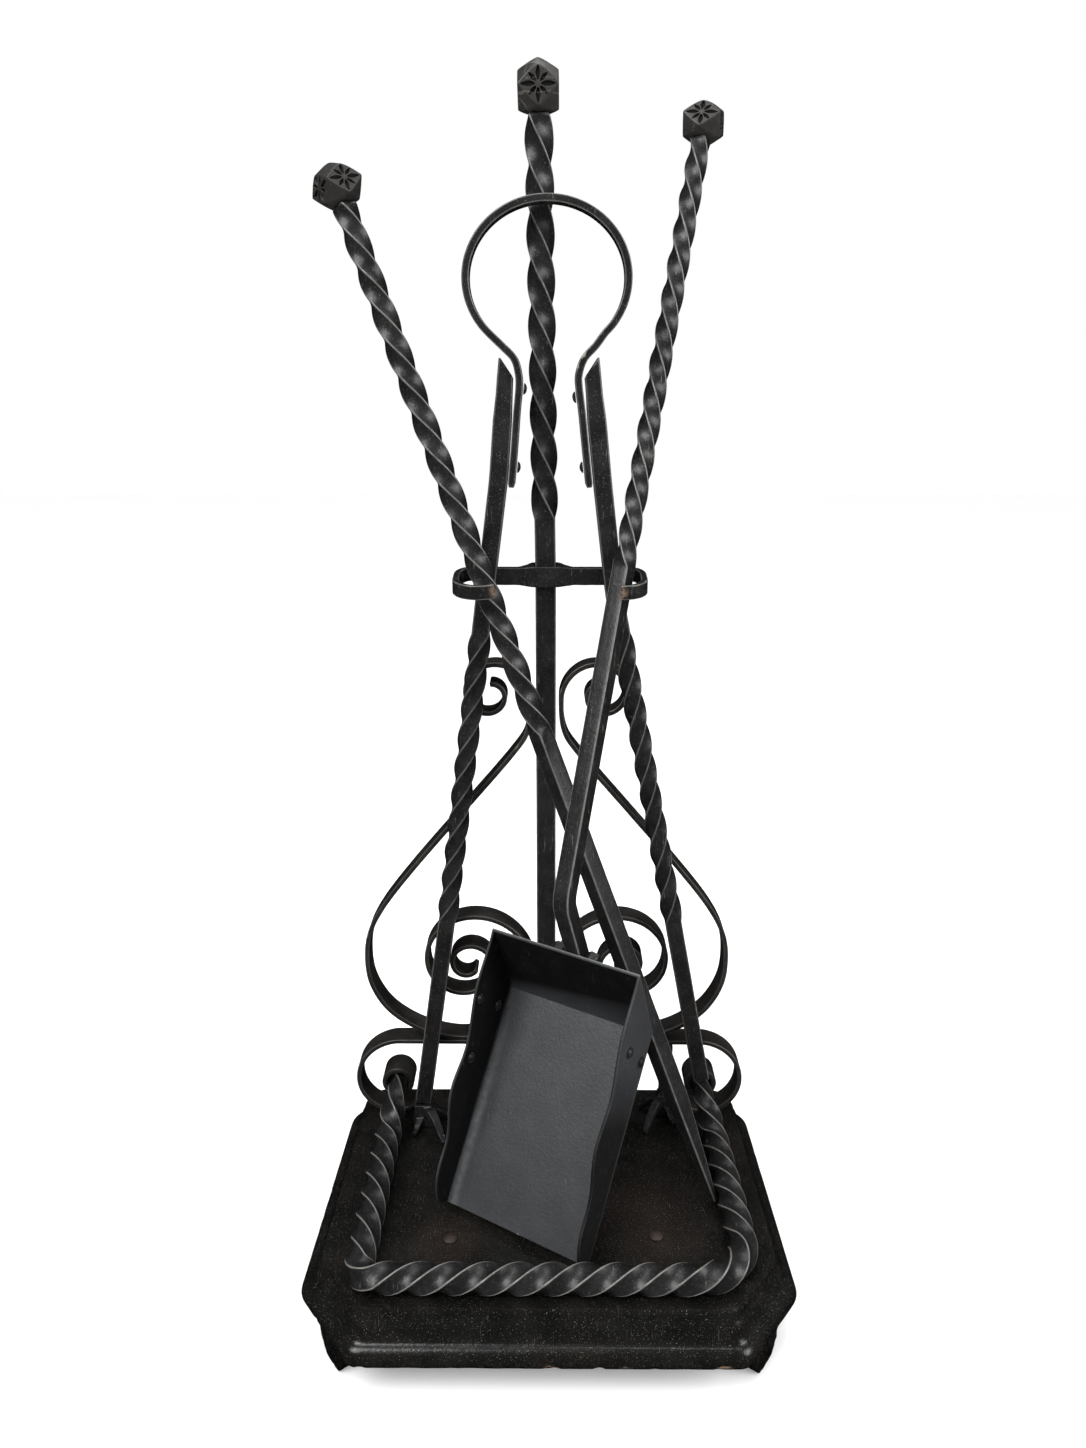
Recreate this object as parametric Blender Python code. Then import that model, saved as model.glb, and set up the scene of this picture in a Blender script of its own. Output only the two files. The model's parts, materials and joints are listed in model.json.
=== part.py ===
"""Wrought-iron fireplace tool set: a stand on a moulded base, a poker and a hearth shovel.

Every sub-part is its own closed solid.  Metres, +Z up, the front of the set faces -Y.
"""
import math

import bmesh
import bpy
from mathutils import Matrix, Vector

# ---------------------------------------------------------------- driving dimensions
CLEARANCE = 0.0004            # gap kept between pieces that touch

# where the middle of the base stands, so that the whole set is centred on the origin
BASE_X = 0.0
BASE_Y = -0.0218

# moulded base
BASE_HALF_WIDTH = 0.1490
BASE_REAR_HALF_WIDTH = 0.1455
BASE_FRONT = 0.1135           # from the middle to the front edge
BASE_REAR = 0.1165
BASE_FRONT_CHAMFER = (0.0370, 0.0490)
BASE_REAR_CHAMFER = (0.0160, 0.0190)
BASE_UNDERSIDE = 0.020
BASE_TOP = 0.054
BASE_TOP_INSET = 0.0140       # the flat top starts this far in from the outer edge
BASE_NOSE_RADIUS = 0.0078
BASE_NOSE_RISE = 0.0092       # the nose's middle above the underside
BASE_NOSE_ANGLES = (-75, -45, -15, 15, 45, 75)
BASE_UNDERSIDE_INSET = 0.0121
# hollow moulding above the nose: how far in from the widest outline, how far below the top
BASE_COVE = ((0.0085, 0.0140), (0.0100, 0.0090), (0.0122, 0.0055), (0.0126, 0.0025))
BASE_BOLTS = (("left", -0.0598, -0.0470), ("right", 0.0652, -0.0440))
BASE_BOLT_RADIUS = 0.0046
BASE_BOLT_RISE = 0.0016
FOOT_SECTIONS = ((0.0, 0.62), (0.006, 0.80), (0.014, 0.97))   # height, share of the full width
FOOT_DEPTH = 0.034
FOOT_HALF_WIDTH = 0.0125
FOOT_INSET = 0.0035
FOOT_BATTER = 0.0030          # how far the foot's outer face draws in towards the floor

# square bar stock
POST_BAR = 0.0127
LEG_BAR = 0.0110
POKER_BAR = 0.0110
SHOVEL_BAR = 0.0105
RAIL_BAR = 0.0132
TWIST_THINNING = 0.96         # a twisted length is a little thinner than its bar

# twisted fender rail
RAIL_LEFT_X = -0.1090
RAIL_RIGHT_FRONT_X = 0.1155
RAIL_RIGHT_REAR_X = 0.1118
RAIL_FRONT_Y = -0.0880
RAIL_LEFT_RADIUS = 0.010
RAIL_RIGHT_RADIUS = 0.030
RAIL_QUARTER_TURN = 0.0187
RAIL_REAR_Y = 0.0810
RAIL_KICK_TOP_Y = 0.0640
RAIL_KICK_FOOT_Y = 0.0380
RAIL_KICK_RADIUS = 0.022
RAIL_END_BAR = 0.0092         # the rail is drawn down where it enters its sockets
RAIL_END_TAPER = 0.026

# planes of the stand, front to back, measured from the middle of the base
HOOK_Y = 0.0435
LEG_Y = 0.0650
PANEL_Y = 0.0818
POST_Y = 0.0800

# legs: x and z of the bar's middle line
LEFT_LEG_LINE = ((-0.0253, 0.5593), (-0.0303, 0.4964), (-0.0675, 0.2130), (-0.0876, 0.0722))
RIGHT_LEG_LINE = ((0.0236, 0.5593), (0.0312, 0.4907), (0.0388, 0.4290), (0.0812, 0.2137), (0.1052, 0.0908))
LEG_TWIST_TOP = 0.405
LEG_TWIST_BOTTOM = 0.212
LEG_QUARTER_TURN = 0.0195
LEG_TOP_SLANT = 1.4           # the legs' tops fall towards the loop
LEG_TOP_BAR = 0.0082
LEG_TOP_TAPER = 0.030

# centre post and its crossbar
POST_FOOT_X = -0.0016
POST_LOWER_LEAN = -0.0024
POST_UPPER_LEAN = -0.0160
POST_TWIST_BOTTOM = 0.472
POST_QUARTER_TURN = 0.0242
POST_TOP = 0.6914
CROSSBAR_Z = 0.4380
CROSSBAR_HEIGHT = 0.0106
CROSSBAR_THICKNESS = 0.0080
CROSSBAR_HALF_LENGTH = 0.0470
EYE_HALF_LENGTH = 0.0165
EYE_WALL = 0.0044

# omega loop
LOOP_CENTRE = (-0.0020, 0.6058)
LOOP_RADIUS = 0.0455
LOOP_SQUASH = 0.905           # the ring is a little lower than it is wide
LOOP_THICKNESS = 0.0042
LOOP_WIDTH = 0.0120
LOOP_OPENING = math.radians(46)      # half the angle left open at the bottom of the ring
STRAP_GAP = 0.0005            # between a strap and its leg
STRAP_BOTTOM_Z = 0.4920
LOOP_RIVET_RADIUS = 0.0035
LOOP_RIVET_RISE = 0.0020
LOOP_RIVET_LOWER_Z = 0.5036
LEFT_RIVET_UPPER_Z = 0.5475
RIGHT_RIVET_UPPER_Z = 0.5430
LEFT_NECK = ((-0.0179, 0.5475), (-0.0181, 0.5550), (-0.0206, 0.5635), (-0.0275, 0.5705))
RIGHT_NECK = ((0.0165, 0.5475), (0.0163, 0.5550), (0.0192, 0.5635), (0.0256, 0.5705))

# tool hooks: an open ring of flat bar in front of each leg
HOOK_HEIGHT = 0.0085
HOOK_WALL = 0.0040
HOOK_Z = 0.4370
HOOK_ROOT_SHIFT = 0.0008
HOOK_ROOT_LIFT = 0.0022
HOOK_DROOP = math.radians(9.0)
LEFT_HOOK_X = -0.0420
LEFT_HOOK_RADIUS = 0.0131
LEFT_HOOK_END = math.radians(315)
RIGHT_HOOK_X = 0.0424
RIGHT_HOOK_RADIUS = 0.0127
RIGHT_HOOK_END = math.radians(278)

# scroll panel
BAND_THICKNESS = 0.0032
BAND_WIDTH = 0.0166
VOLUTE_CENTRE = (-0.0555, 0.1722)
VOLUTE_START_RADIUS = 0.0565
VOLUTE_DECAY = 0.240
VOLUTE_QUARTERS = 8.6
CURL_CENTRE = (-0.0378, 0.3622)
CURL_START_RADIUS = 0.0254
CURL_DECAY = 0.255
CURL_QUARTERS = 5.0
SCROLL_RIVET_RADIUS = 0.0030
SCROLL_RIVET_RISE = 0.0016
SCROLL_RIVET_SEAT = 0.0013
SOCKET_X = 0.1064
SOCKET_Z = 0.0800
SOCKET_OUTER = 0.0112
SOCKET_INNER = 0.0076
SOCKET_DEPTH = 0.0190
ROLL_DECAY = 0.155
ROLL_QUARTERS = 2.35
ROLL_FLOOR_GAP = 0.0022

# claw feet
CLAW_TOP = 0.0705
CLAW_HUB = 0.0138
CLAW_FLARE = 0.0060           # the hub keeps its full width up to this height above the base
CLAW_TOES = ((-0.52, -0.85, 0.031, 0.0105, 0.0068), (0.30, -0.95, 0.018, 0.0020, 0.0056),
             (-0.98, 0.15, 0.018, 0.0060, 0.0060))      # sideways, backward, reach, rise, width
RIGHT_STAY_X = 0.0820
RIGHT_STAY_SET_FORWARD = 0.0045
RIGHT_STAY_BAR = 0.0088

# finials
FINIAL_HALF_WIDTH = 0.0113
CENTRE_FINIAL_HALF_HEIGHT = 0.0123
TOOL_FINIAL_HALF_HEIGHT = 0.0103
FINIAL_CROWN = 0.0032
POKER_FINIAL_FACING = Vector((0.62, -0.78, 0.0))
SHOVEL_FINIAL_FACING = Vector((-0.28, -0.96, 0.0))

# poker: its point rests on the base, its shaft passes through the left hook
POKER_POINT = (0.1052, -0.0165, 0.0558)
POKER_AT_HOOK = (-0.0380, 0.0470, 0.4370)
POKER_LENGTH = 0.6384
POKER_TWIST_START = 0.3180
POKER_QUARTER_TURN = 0.0212
POKER_TAPER = 0.0750
POKER_TIP_BAR = 0.0022

# shovel
PAN_LIP_MIDDLE = (-0.0205, -0.0465, 0.0585)
PAN_YAW = math.radians(-30.3)
PAN_ROLL = math.radians(-1.9)
PAN_SLOPE = math.radians(58.5)
PAN_LENGTH = 0.1365
PAN_WIDTH = 0.1010
PAN_SHEET = 0.0018
PAN_BACK_THICKNESS = 1.15     # the back wall's slanted cut is this much longer than the sheet is thick
PAN_LIP_HEIGHT = 0.0100        # height of the side walls at the lip
PAN_BACK_HEIGHT = 0.0475
PAN_BACK_LEAN = 0.65          # the back wall leans out by this much of its height
PAN_SCALLOP = 0.0036
PAN_STATIONS = 14
# rivet heads: along the floor from the lip, up the side wall; inside the left wall, outside the right one
LEFT_PAN_RIVETS = ((0.126, 0.040), (0.124, 0.015), (0.090, 0.029))
RIGHT_PAN_RIVETS = ((0.125, 0.031), (0.120, 0.008))
PAN_RIVET_RADIUS = 0.0036
PAN_RIVET_RISE = 0.0020
PAN_BOLT_SPREAD = 0.0115      # each side of the shaft
PAN_BOLT_DROP = 0.0060        # below the back wall's rim
PAN_BOLT_RADIUS = 0.0050
PAN_BOLT_RISE = 0.0060
SHOVEL_STRAP_OVERLAP = 0.026  # how far the shaft's lower end runs down the back wall
SHOVEL_KNEE_RADIUS = 0.014
SHOVEL_AT_HOOK = (0.0412, 0.0440, 0.4370)
SHOVEL_ACROSS = 0.0050        # the shaft stands a little right of the pan's middle
SHOVEL_KNEE_RISE = 0.0390
SHOVEL_TWIST_ABOVE_HOOK = 0.0100
SHOVEL_TOP_LENGTH = 0.4628
SHOVEL_QUARTER_TURN = 0.0212

UP = Vector((0.0, 0.0, 1.0))
BACK = Vector((0.0, 1.0, 0.0))


# ---------------------------------------------------------------- scene helpers
def clear_scene():
    for old in list(bpy.data.objects):
        bpy.data.objects.remove(old, do_unlink=True)


def make_material(name, colour, roughness, metallic):
    material = bpy.data.materials.new(name)
    material.use_nodes = True
    shader = material.node_tree.nodes["Principled BSDF"]
    shader.inputs["Base Color"].default_value = (*colour, 1.0)
    shader.inputs["Roughness"].default_value = roughness
    shader.inputs["Metallic"].default_value = metallic
    return material


def at(x, y, z):
    """A point given from the middle of the base, in the part's own frame."""
    return Vector((x + BASE_X, y + BASE_Y, z))


def add_object(name, shape, material, origin=None, smooth_angle=None):
    """Turn a bmesh into a named object whose origin is at the given point."""
    bmesh.ops.recalc_face_normals(shape, faces=shape.faces)
    place = origin if origin is not None else Vector((0.0, 0.0, 0.0))
    bmesh.ops.translate(shape, verts=shape.verts, vec=-place)
    mesh = bpy.data.meshes.new(name)
    shape.to_mesh(mesh)
    shape.free()
    mesh.materials.append(material)
    if smooth_angle is not None:
        mesh.shade_smooth()
        mesh.set_sharp_from_angle(angle=smooth_angle)
    item = bpy.data.objects.new(name, mesh)
    item.location = place
    bpy.context.scene.collection.objects.link(item)
    return item


def parent_keeping_place(child, parent):
    bpy.context.view_layer.update()
    child.parent = parent
    child.matrix_parent_inverse = parent.matrix_world.inverted()


def cut_with(item, shape, name):
    """Cut a shape out of an object with a hidden cutter."""
    cutter = add_object(name, shape, item.data.materials[0])
    cutter.hide_render = True
    cutter.display_type = "WIRE"
    cut = item.modifiers.new("Cut", "BOOLEAN")
    cut.operation = "DIFFERENCE"
    cut.solver = "EXACT"
    cut.object = cutter


# ---------------------------------------------------------------- shape helpers
def loft(rings, closed=False):
    """Skin a list of rings with the same number of points; cap the ends unless closed."""
    shape = bmesh.new()
    rows = [[shape.verts.new(point) for point in ring] for ring in rings]
    count = len(rows[0])
    pairs = list(zip(rows, rows[1:]))
    if closed:
        pairs.append((rows[-1], rows[0]))
    for lower, upper in pairs:
        for index in range(count):
            after = (index + 1) % count
            shape.faces.new((lower[index], lower[after], upper[after], upper[index]))
    if not closed:
        shape.faces.new(list(reversed(rows[0])))
        shape.faces.new(rows[-1])
    return shape


def box(size, centre):
    shape = bmesh.new()
    bmesh.ops.create_cube(shape, size=1.0)
    bmesh.ops.scale(shape, verts=shape.verts, vec=size)
    bmesh.ops.translate(shape, verts=shape.verts, vec=centre)
    return shape


def tangents_of(points):
    result = []
    for index, point in enumerate(points):
        before = points[max(index - 1, 0)]
        after = points[min(index + 1, len(points) - 1)]
        result.append((after - before).normalized())
    return result


def lengths_along(points):
    total = [0.0]
    for first, second in zip(points, points[1:]):
        total.append(total[-1] + (second - first).length)
    return total


def square_ring(centre, tangent, reference, side, turn):
    """Four corners of a square section; one side faces the reference direction."""
    across = tangent.cross(reference).normalized()
    toward = across.cross(tangent).normalized()
    radius = side / math.sqrt(2.0)
    ring = []
    for corner in range(4):
        angle = turn + math.radians(45 + 90 * corner)
        ring.append(centre + radius * (math.cos(angle) * across + math.sin(angle) * toward))
    return ring


def square_bar(points, reference, sides, turns):
    """A square bar along a path, with a side length and a turn at each point."""
    tangents = tangents_of(points)
    rings = []
    for point, tangent, side, turn in zip(points, tangents, sides, turns):
        rings.append(square_ring(point, tangent, reference, side, turn))
    return loft(rings)


def band_along(points, sideways, width, thicknesses):
    """A flat band on edge: its width lies along the sideways direction."""
    tangents = tangents_of(points)
    rings = []
    for point, tangent, thickness in zip(points, tangents, thicknesses):
        normal = tangent.cross(sideways).normalized()
        ring = []
        for side, face in ((-1, -1), (1, -1), (1, 1), (-1, 1)):
            ring.append(point + sideways * (side * width / 2) + normal * (face * thickness / 2))
        rings.append(ring)
    return loft(rings)


def spaced(start, end, step):
    """Evenly spaced points on a straight line, ends included."""
    count = max(1, round((end - start).length / step))
    return [start.lerp(end, index / count) for index in range(count + 1)]


def rounded_path(corners, radii, step, straight_step=None):
    """A path through corners, each rounded by an arc of its radius."""
    path = [corners[0]]
    for before, corner, after, radius in zip(corners, corners[1:], corners[2:], radii):
        toward_before = (before - corner).normalized()
        toward_after = (after - corner).normalized()
        half = toward_before.angle(toward_after) / 2
        trim = radius / math.tan(half)
        arc_start = corner + toward_before * trim
        arc_end = corner + toward_after * trim
        bisector = (toward_before + toward_after).normalized()
        centre = corner + bisector * (radius / math.sin(half))
        path += spaced(path[-1], arc_start, straight_step or step)[1:]
        sweep = math.pi - 2 * half
        count = max(2, round(radius * sweep / step))
        from_centre = arc_start - centre
        axis = from_centre.cross(arc_end - centre).normalized()
        for index in range(1, count + 1):
            turn = Matrix.Rotation(sweep * index / count, 3, axis)
            path.append(centre + turn @ from_centre)
    path += spaced(path[-1], corners[-1], straight_step or step)[1:]
    return path


def smooth_curve(points, steps):
    """A Catmull-Rom curve through 2-D points."""
    padded = [points[0]] + list(points) + [points[-1]]
    result = []
    for a, b, c, d in zip(padded, padded[1:], padded[2:], padded[3:]):
        for index in range(steps):
            t = index / steps
            spot = []
            for i in range(2):
                spot.append(0.5 * (2 * b[i] + (c[i] - a[i]) * t
                                   + (2 * a[i] - 5 * b[i] + 4 * c[i] - d[i]) * t * t
                                   + (3 * b[i] - a[i] - 3 * c[i] + d[i]) * t * t * t))
            result.append(tuple(spot))
    result.append(tuple(points[-1]))
    return result


def spiral(centre, start_radius, decay, quarters, start_angle, direction, steps):
    """A shrinking spiral in the x-z plane, measured in quarter turns."""
    points = []
    count = round(quarters * steps)
    for index in range(count + 1):
        quarter = quarters * index / count
        radius = start_radius * math.exp(-decay * quarter)
        angle = start_angle + direction * math.radians(90) * quarter
        points.append((centre[0] + radius * math.cos(angle), centre[1] + radius * math.sin(angle)))
    return points


def rod(start, end, radius, sides):
    """A round rod between two points, as a mesh to cut with or to keep."""
    direction = (end - start).normalized()
    across = direction.orthogonal().normalized()
    other = direction.cross(across)
    rings = []
    for point in (start, end):
        ring = []
        for index in range(sides):
            angle = 2 * math.pi * index / sides
            ring.append(point + radius * (math.cos(angle) * across + math.sin(angle) * other))
        rings.append(ring)
    return loft(rings)


def rivet_head(base, direction, radius, height, sides=10):
    """A domed rivet head that stands on a surface."""
    across = direction.orthogonal().normalized()
    other = direction.cross(across)
    rings = []
    for rise, spread in ((0.0, 1.0), (0.45, 0.88), (0.82, 0.58), (1.0, 0.22)):
        ring = []
        for index in range(sides):
            angle = 2 * math.pi * index / sides
            offset = math.cos(angle) * across + math.sin(angle) * other
            ring.append(base + direction * (height * rise) + offset * (radius * spread))
        rings.append(ring)
    return loft(rings)


def twist_turns(lengths, start, end, quarter, sign):
    """Turn of the section along a bar that is twisted between two lengths.

    The twist is a whole number of quarter turns, so both plain ends lie square.
    """
    quarters = max(1, round((end - start) / quarter))
    total = sign * quarters * math.pi / 2
    turns = []
    for length in lengths:
        share = min(1.0, max(0.0, (length - start) / (end - start)))
        turns.append(total * share)
    return turns


def twist_sides(lengths, start, end, side):
    """Side of the section: slightly thinner where the bar is twisted."""
    blend = side
    sides = []
    for length in lengths:
        inside = min(length - start, end - length)
        share = min(1.0, max(0.0, inside / blend))
        sides.append(side * (1.0 + (TWIST_THINNING - 1.0) * share))
    return sides


# ---------------------------------------------------------------- base
def base_corners():
    """The base's eight corners, front left first, counter-clockwise seen from above."""
    front_run, front_rise = BASE_FRONT_CHAMFER
    rear_run, rear_rise = BASE_REAR_CHAMFER
    right = [
        (BASE_HALF_WIDTH - front_run, -BASE_FRONT), (BASE_HALF_WIDTH, -BASE_FRONT + front_rise),
        (BASE_REAR_HALF_WIDTH, BASE_REAR - rear_rise), (BASE_REAR_HALF_WIDTH - rear_run, BASE_REAR),
    ]
    left = [(-x, y) for x, y in reversed(right)]
    return [Vector(corner) for corner in right + left]


def base_outline(inset):
    """The base's outline, drawn in by an inset all round."""
    corners = base_corners()
    outline = []
    for index, here in enumerate(corners):
        into = (here - corners[index - 1]).normalized()
        out = (corners[(index + 1) % 8] - here).normalized()
        normal_in = Vector((-into.y, into.x))
        normal_out = Vector((-out.y, out.x))
        bisector = (normal_in + normal_out).normalized()
        outline.append(here + bisector * (inset / bisector.dot(normal_in)))
    return outline


def make_base(material):
    """Slab with a rounded nose, a cove and a small step up to its flat top."""
    nose_z = BASE_UNDERSIDE + BASE_NOSE_RISE
    profile = [(BASE_UNDERSIDE_INSET, BASE_UNDERSIDE)]
    for degrees in BASE_NOSE_ANGLES:
        angle = math.radians(degrees)
        inset = BASE_NOSE_RADIUS * (1 - math.cos(angle))
        profile.append((inset, nose_z + BASE_NOSE_RADIUS * math.sin(angle)))
    profile += [(inset, BASE_TOP - depth) for inset, depth in BASE_COVE]
    profile.append((BASE_TOP_INSET, BASE_TOP))
    rings = []
    for inset, z in profile:
        rings.append([at(point.x, point.y, z) for point in base_outline(inset)])
    return add_object("base", loft(rings), material, smooth_angle=math.radians(35))


def make_feet(material):
    """A bracket foot under each chamfer of the base, flush with it and narrower at the floor."""
    corners = base_corners()
    labels = ("front_right", "rear_right", "rear_left", "front_left")
    for label, first, second in zip(labels, corners[0::2], corners[1::2]):
        along = (second - first).normalized()
        inward = Vector((-along.y, along.x))
        middle = (first + second) / 2 + inward * FOOT_INSET
        rings = []
        for z, scale in FOOT_SECTIONS + ((BASE_UNDERSIDE - CLEARANCE, 1.0),):
            half = FOOT_HALF_WIDTH * scale
            set_back = FOOT_BATTER * (1 - scale)
            ring = []
            for side, depth in ((-1, set_back), (1, set_back), (1, FOOT_DEPTH), (-1, FOOT_DEPTH)):
                spot = middle + along * (side * half) + inward * depth
                ring.append(at(spot.x, spot.y, z))
            rings.append(ring)
        add_object(f"{label}_foot", loft(rings), material)


def make_base_bolts(material):
    """Two bolts whose worn heads show on the base's flat top."""
    for label, x, y in BASE_BOLTS:
        head = rivet_head(at(x, y, BASE_TOP + CLEARANCE), UP, BASE_BOLT_RADIUS, BASE_BOLT_RISE, sides=12)
        add_object(f"{label}_base_bolt", head, material, smooth_angle=math.radians(40))


# ---------------------------------------------------------------- rail
def make_rail(material):
    """Twisted bar that fences the base's left, front and right sides."""
    flat_z = BASE_TOP + RAIL_BAR / math.sqrt(2.0) + CLEARANCE
    corners = [
        at(-SOCKET_X, RAIL_REAR_Y, SOCKET_Z),
        at(-SOCKET_X, RAIL_KICK_TOP_Y, SOCKET_Z),
        at(RAIL_LEFT_X, RAIL_KICK_FOOT_Y, flat_z),
        at(RAIL_LEFT_X, RAIL_FRONT_Y, flat_z),
        at(RAIL_RIGHT_FRONT_X, RAIL_FRONT_Y, flat_z),
        at(RAIL_RIGHT_REAR_X, RAIL_KICK_FOOT_Y, flat_z),
        at(SOCKET_X, RAIL_KICK_TOP_Y, SOCKET_Z),
        at(SOCKET_X, RAIL_REAR_Y, SOCKET_Z),
    ]
    kick = RAIL_KICK_RADIUS
    radii = (kick, kick, RAIL_LEFT_RADIUS, RAIL_RIGHT_RADIUS, kick, kick)
    points = rounded_path(corners, radii, RAIL_QUARTER_TURN / 4)
    lengths = lengths_along(points)
    turns = [length / RAIL_QUARTER_TURN * math.pi / 2 for length in lengths]
    sides = []
    for length in lengths:
        from_end = min(length, lengths[-1] - length)
        share = min(1.0, max(0.0, (from_end - SOCKET_DEPTH / 2) / RAIL_END_TAPER))
        sides.append(RAIL_END_BAR + (RAIL_BAR - RAIL_END_BAR) * share)
    shape = square_bar(points, UP, sides, turns)
    return add_object("fender_rail", shape, material, smooth_angle=math.radians(30))


# ---------------------------------------------------------------- legs, post, crossbar
def leg_shape(line, side):
    corners = [at(x, LEG_Y, z) for x, z in line]
    radii = [0.25] * (len(corners) - 2)
    points = rounded_path(corners, radii, LEG_QUARTER_TURN / 4)
    lengths = lengths_along(points)
    start = next(length for point, length in zip(points, lengths) if point.z < LEG_TWIST_TOP)
    end = next(length for point, length in zip(points, lengths) if point.z < LEG_TWIST_BOTTOM)
    turns = twist_turns(lengths, start, end, LEG_QUARTER_TURN, -1)
    sides = []
    for length, twisted_side in zip(lengths, twist_sides(lengths, start, end, LEG_BAR)):
        share = min(1.0, length / LEG_TOP_TAPER)
        sides.append(twisted_side + (LEG_TOP_BAR - LEG_BAR) * (1 - share))
    kept = [index for index, length in enumerate(lengths)
            if start - 0.002 < length < end + 0.002 or index % 3 == 0 or index == len(points) - 1]
    shape = square_bar([points[i] for i in kept], BACK, [sides[i] for i in kept], [turns[i] for i in kept])
    top = points[0]
    for vertex in shape.verts:
        if vertex.co.z > top.z - LEG_BAR / 4:
            vertex.co.z = top.z + side * LEG_TOP_SLANT * (vertex.co.x - top.x)
    return shape


def make_legs(material):
    add_object("left_leg", leg_shape(LEFT_LEG_LINE, -1), material, smooth_angle=math.radians(30))
    add_object("right_leg", leg_shape(RIGHT_LEG_LINE, 1), material, smooth_angle=math.radians(30))


def post_x(z):
    """The post leans slightly, more so above the crossbar."""
    lower = min(z, CROSSBAR_Z)
    return POST_FOOT_X + POST_LOWER_LEAN * lower + POST_UPPER_LEAN * (z - lower)


def post_at(z):
    return at(post_x(z), POST_Y, z)


def make_centre_post(material):
    """Post that stands on the base, passes through the crossbar's eye and ends in a finial."""
    foot = BASE_TOP + CLEARANCE
    points = [post_at(foot), post_at(CROSSBAR_Z)]
    points += spaced(post_at(POST_TWIST_BOTTOM), post_at(POST_TOP), POST_QUARTER_TURN / 4)
    lengths = lengths_along(points)
    start = lengths[2]
    end = lengths[-1]
    turns = twist_turns(lengths, start, end, POST_QUARTER_TURN, 1)
    sides = [POST_BAR, POST_BAR] + [POST_BAR * TWIST_THINNING] * (len(points) - 2)
    sides[2] = POST_BAR
    shape = square_bar(points, BACK, sides, turns)
    return add_object("centre_post", shape, material, smooth_angle=math.radians(30))


def crossbar_surface(x, sign):
    """Distance of the crossbar's front or rear surface from the legs' plane at a given x."""
    plain_front = LEG_Y + LEG_BAR / 2 + CLEARANCE
    plain = plain_front if sign < 0 else plain_front + CROSSBAR_THICKNESS
    swell = POST_Y + sign * (POST_BAR / 2 + CLEARANCE + EYE_WALL)
    middle = post_x(CROSSBAR_Z)
    share = min(1.0, abs(x - middle) / EYE_HALF_LENGTH)
    weight = 0.5 + 0.5 * math.cos(math.pi * max(0.0, (share - 0.42) / 0.58))
    return plain + (swell - plain) * weight


def make_crossbar(material):
    """Bar behind the legs, swollen at its middle into an eye for the centre post."""
    middle = post_x(CROSSBAR_Z)
    stations = [-CROSSBAR_HALF_LENGTH]
    for index in range(17):
        stations.append(middle + EYE_HALF_LENGTH * (index / 8 - 1))
    stations.append(CROSSBAR_HALF_LENGTH)
    rings = []
    for x in stations:
        share = max(0.0, 1 - abs(x - middle) / EYE_HALF_LENGTH)
        half = CROSSBAR_HEIGHT / 2 + 0.0010 * min(1.0, 2.0 * share)
        front = crossbar_surface(x, -1)
        rear = crossbar_surface(x, 1)
        rings.append([at(x, front, CROSSBAR_Z - half), at(x, rear, CROSSBAR_Z - half),
                      at(x, rear, CROSSBAR_Z + half), at(x, front, CROSSBAR_Z + half)])
    bar = add_object("crossbar", loft(rings), material, smooth_angle=math.radians(35))
    hole = POST_BAR + 2 * CLEARANCE
    cut_with(bar, box((hole, hole, 0.05), post_at(CROSSBAR_Z)), "crossbar_eye_cutter")
    return bar


def hook_path(centre_x, ring_radius, end_angle, side):
    """From the crossbar's end, forward past the leg's outer face and round to the open tip."""
    root_x = side * (CROSSBAR_HALF_LENGTH + CLEARANCE)
    root_y = LEG_Y + LEG_BAR / 2 + CLEARANCE + CROSSBAR_THICKNESS / 2
    outer_x = centre_x + side * ring_radius
    path = [(root_x, root_y)]
    root_x += side * HOOK_ROOT_SHIFT
    for share in (0.0, 0.2, 0.4, 0.6, 0.8):
        angle = share * math.pi / 2
        x = root_x + (outer_x - root_x) * math.sin(angle)
        y = root_y - (root_y - HOOK_Y - 0.010) * (1 - math.cos(angle))
        path.append((x, y))
    count = round(math.degrees(end_angle - math.pi) / 15)
    path.append((outer_x, HOOK_Y + 0.009))
    for index in range(count + 1):
        angle = math.pi + (end_angle - math.pi) * index / count
        path.append((centre_x - side * ring_radius * math.cos(angle), HOOK_Y + ring_radius * math.sin(angle)))
    return path


def make_hook(name, centre_x, ring_radius, end_angle, side, material):
    points = []
    for x, y in hook_path(centre_x, ring_radius, end_angle, side):
        drop = math.tan(HOOK_DROOP) * min(0.0, y - HOOK_Y - 0.012)
        points.append(at(x, y, HOOK_Z + HOOK_ROOT_LIFT + drop))
    shape = band_along(points, UP, HOOK_HEIGHT, [HOOK_WALL] * len(points))
    return add_object(name, shape, material, smooth_angle=math.radians(40))


# ---------------------------------------------------------------- omega loop
def leg_x_at(line, z):
    for (x_high, z_high), (x_low, z_low) in zip(line, line[1:]):
        if z >= z_low:
            return x_low + (x_high - x_low) * (z - z_low) / (z_high - z_low)
    return line[-1][0]


def strap_line(line, neck, side):
    """Middle line of one strap, from its lower end up to the ring's neck."""
    inward = LEG_BAR / 2 + STRAP_GAP + LOOP_THICKNESS / 2
    straight = [(leg_x_at(line, z) - side * inward, z) for z in (STRAP_BOTTOM_Z, 0.515, 0.535)]
    return straight + list(neck)


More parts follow.
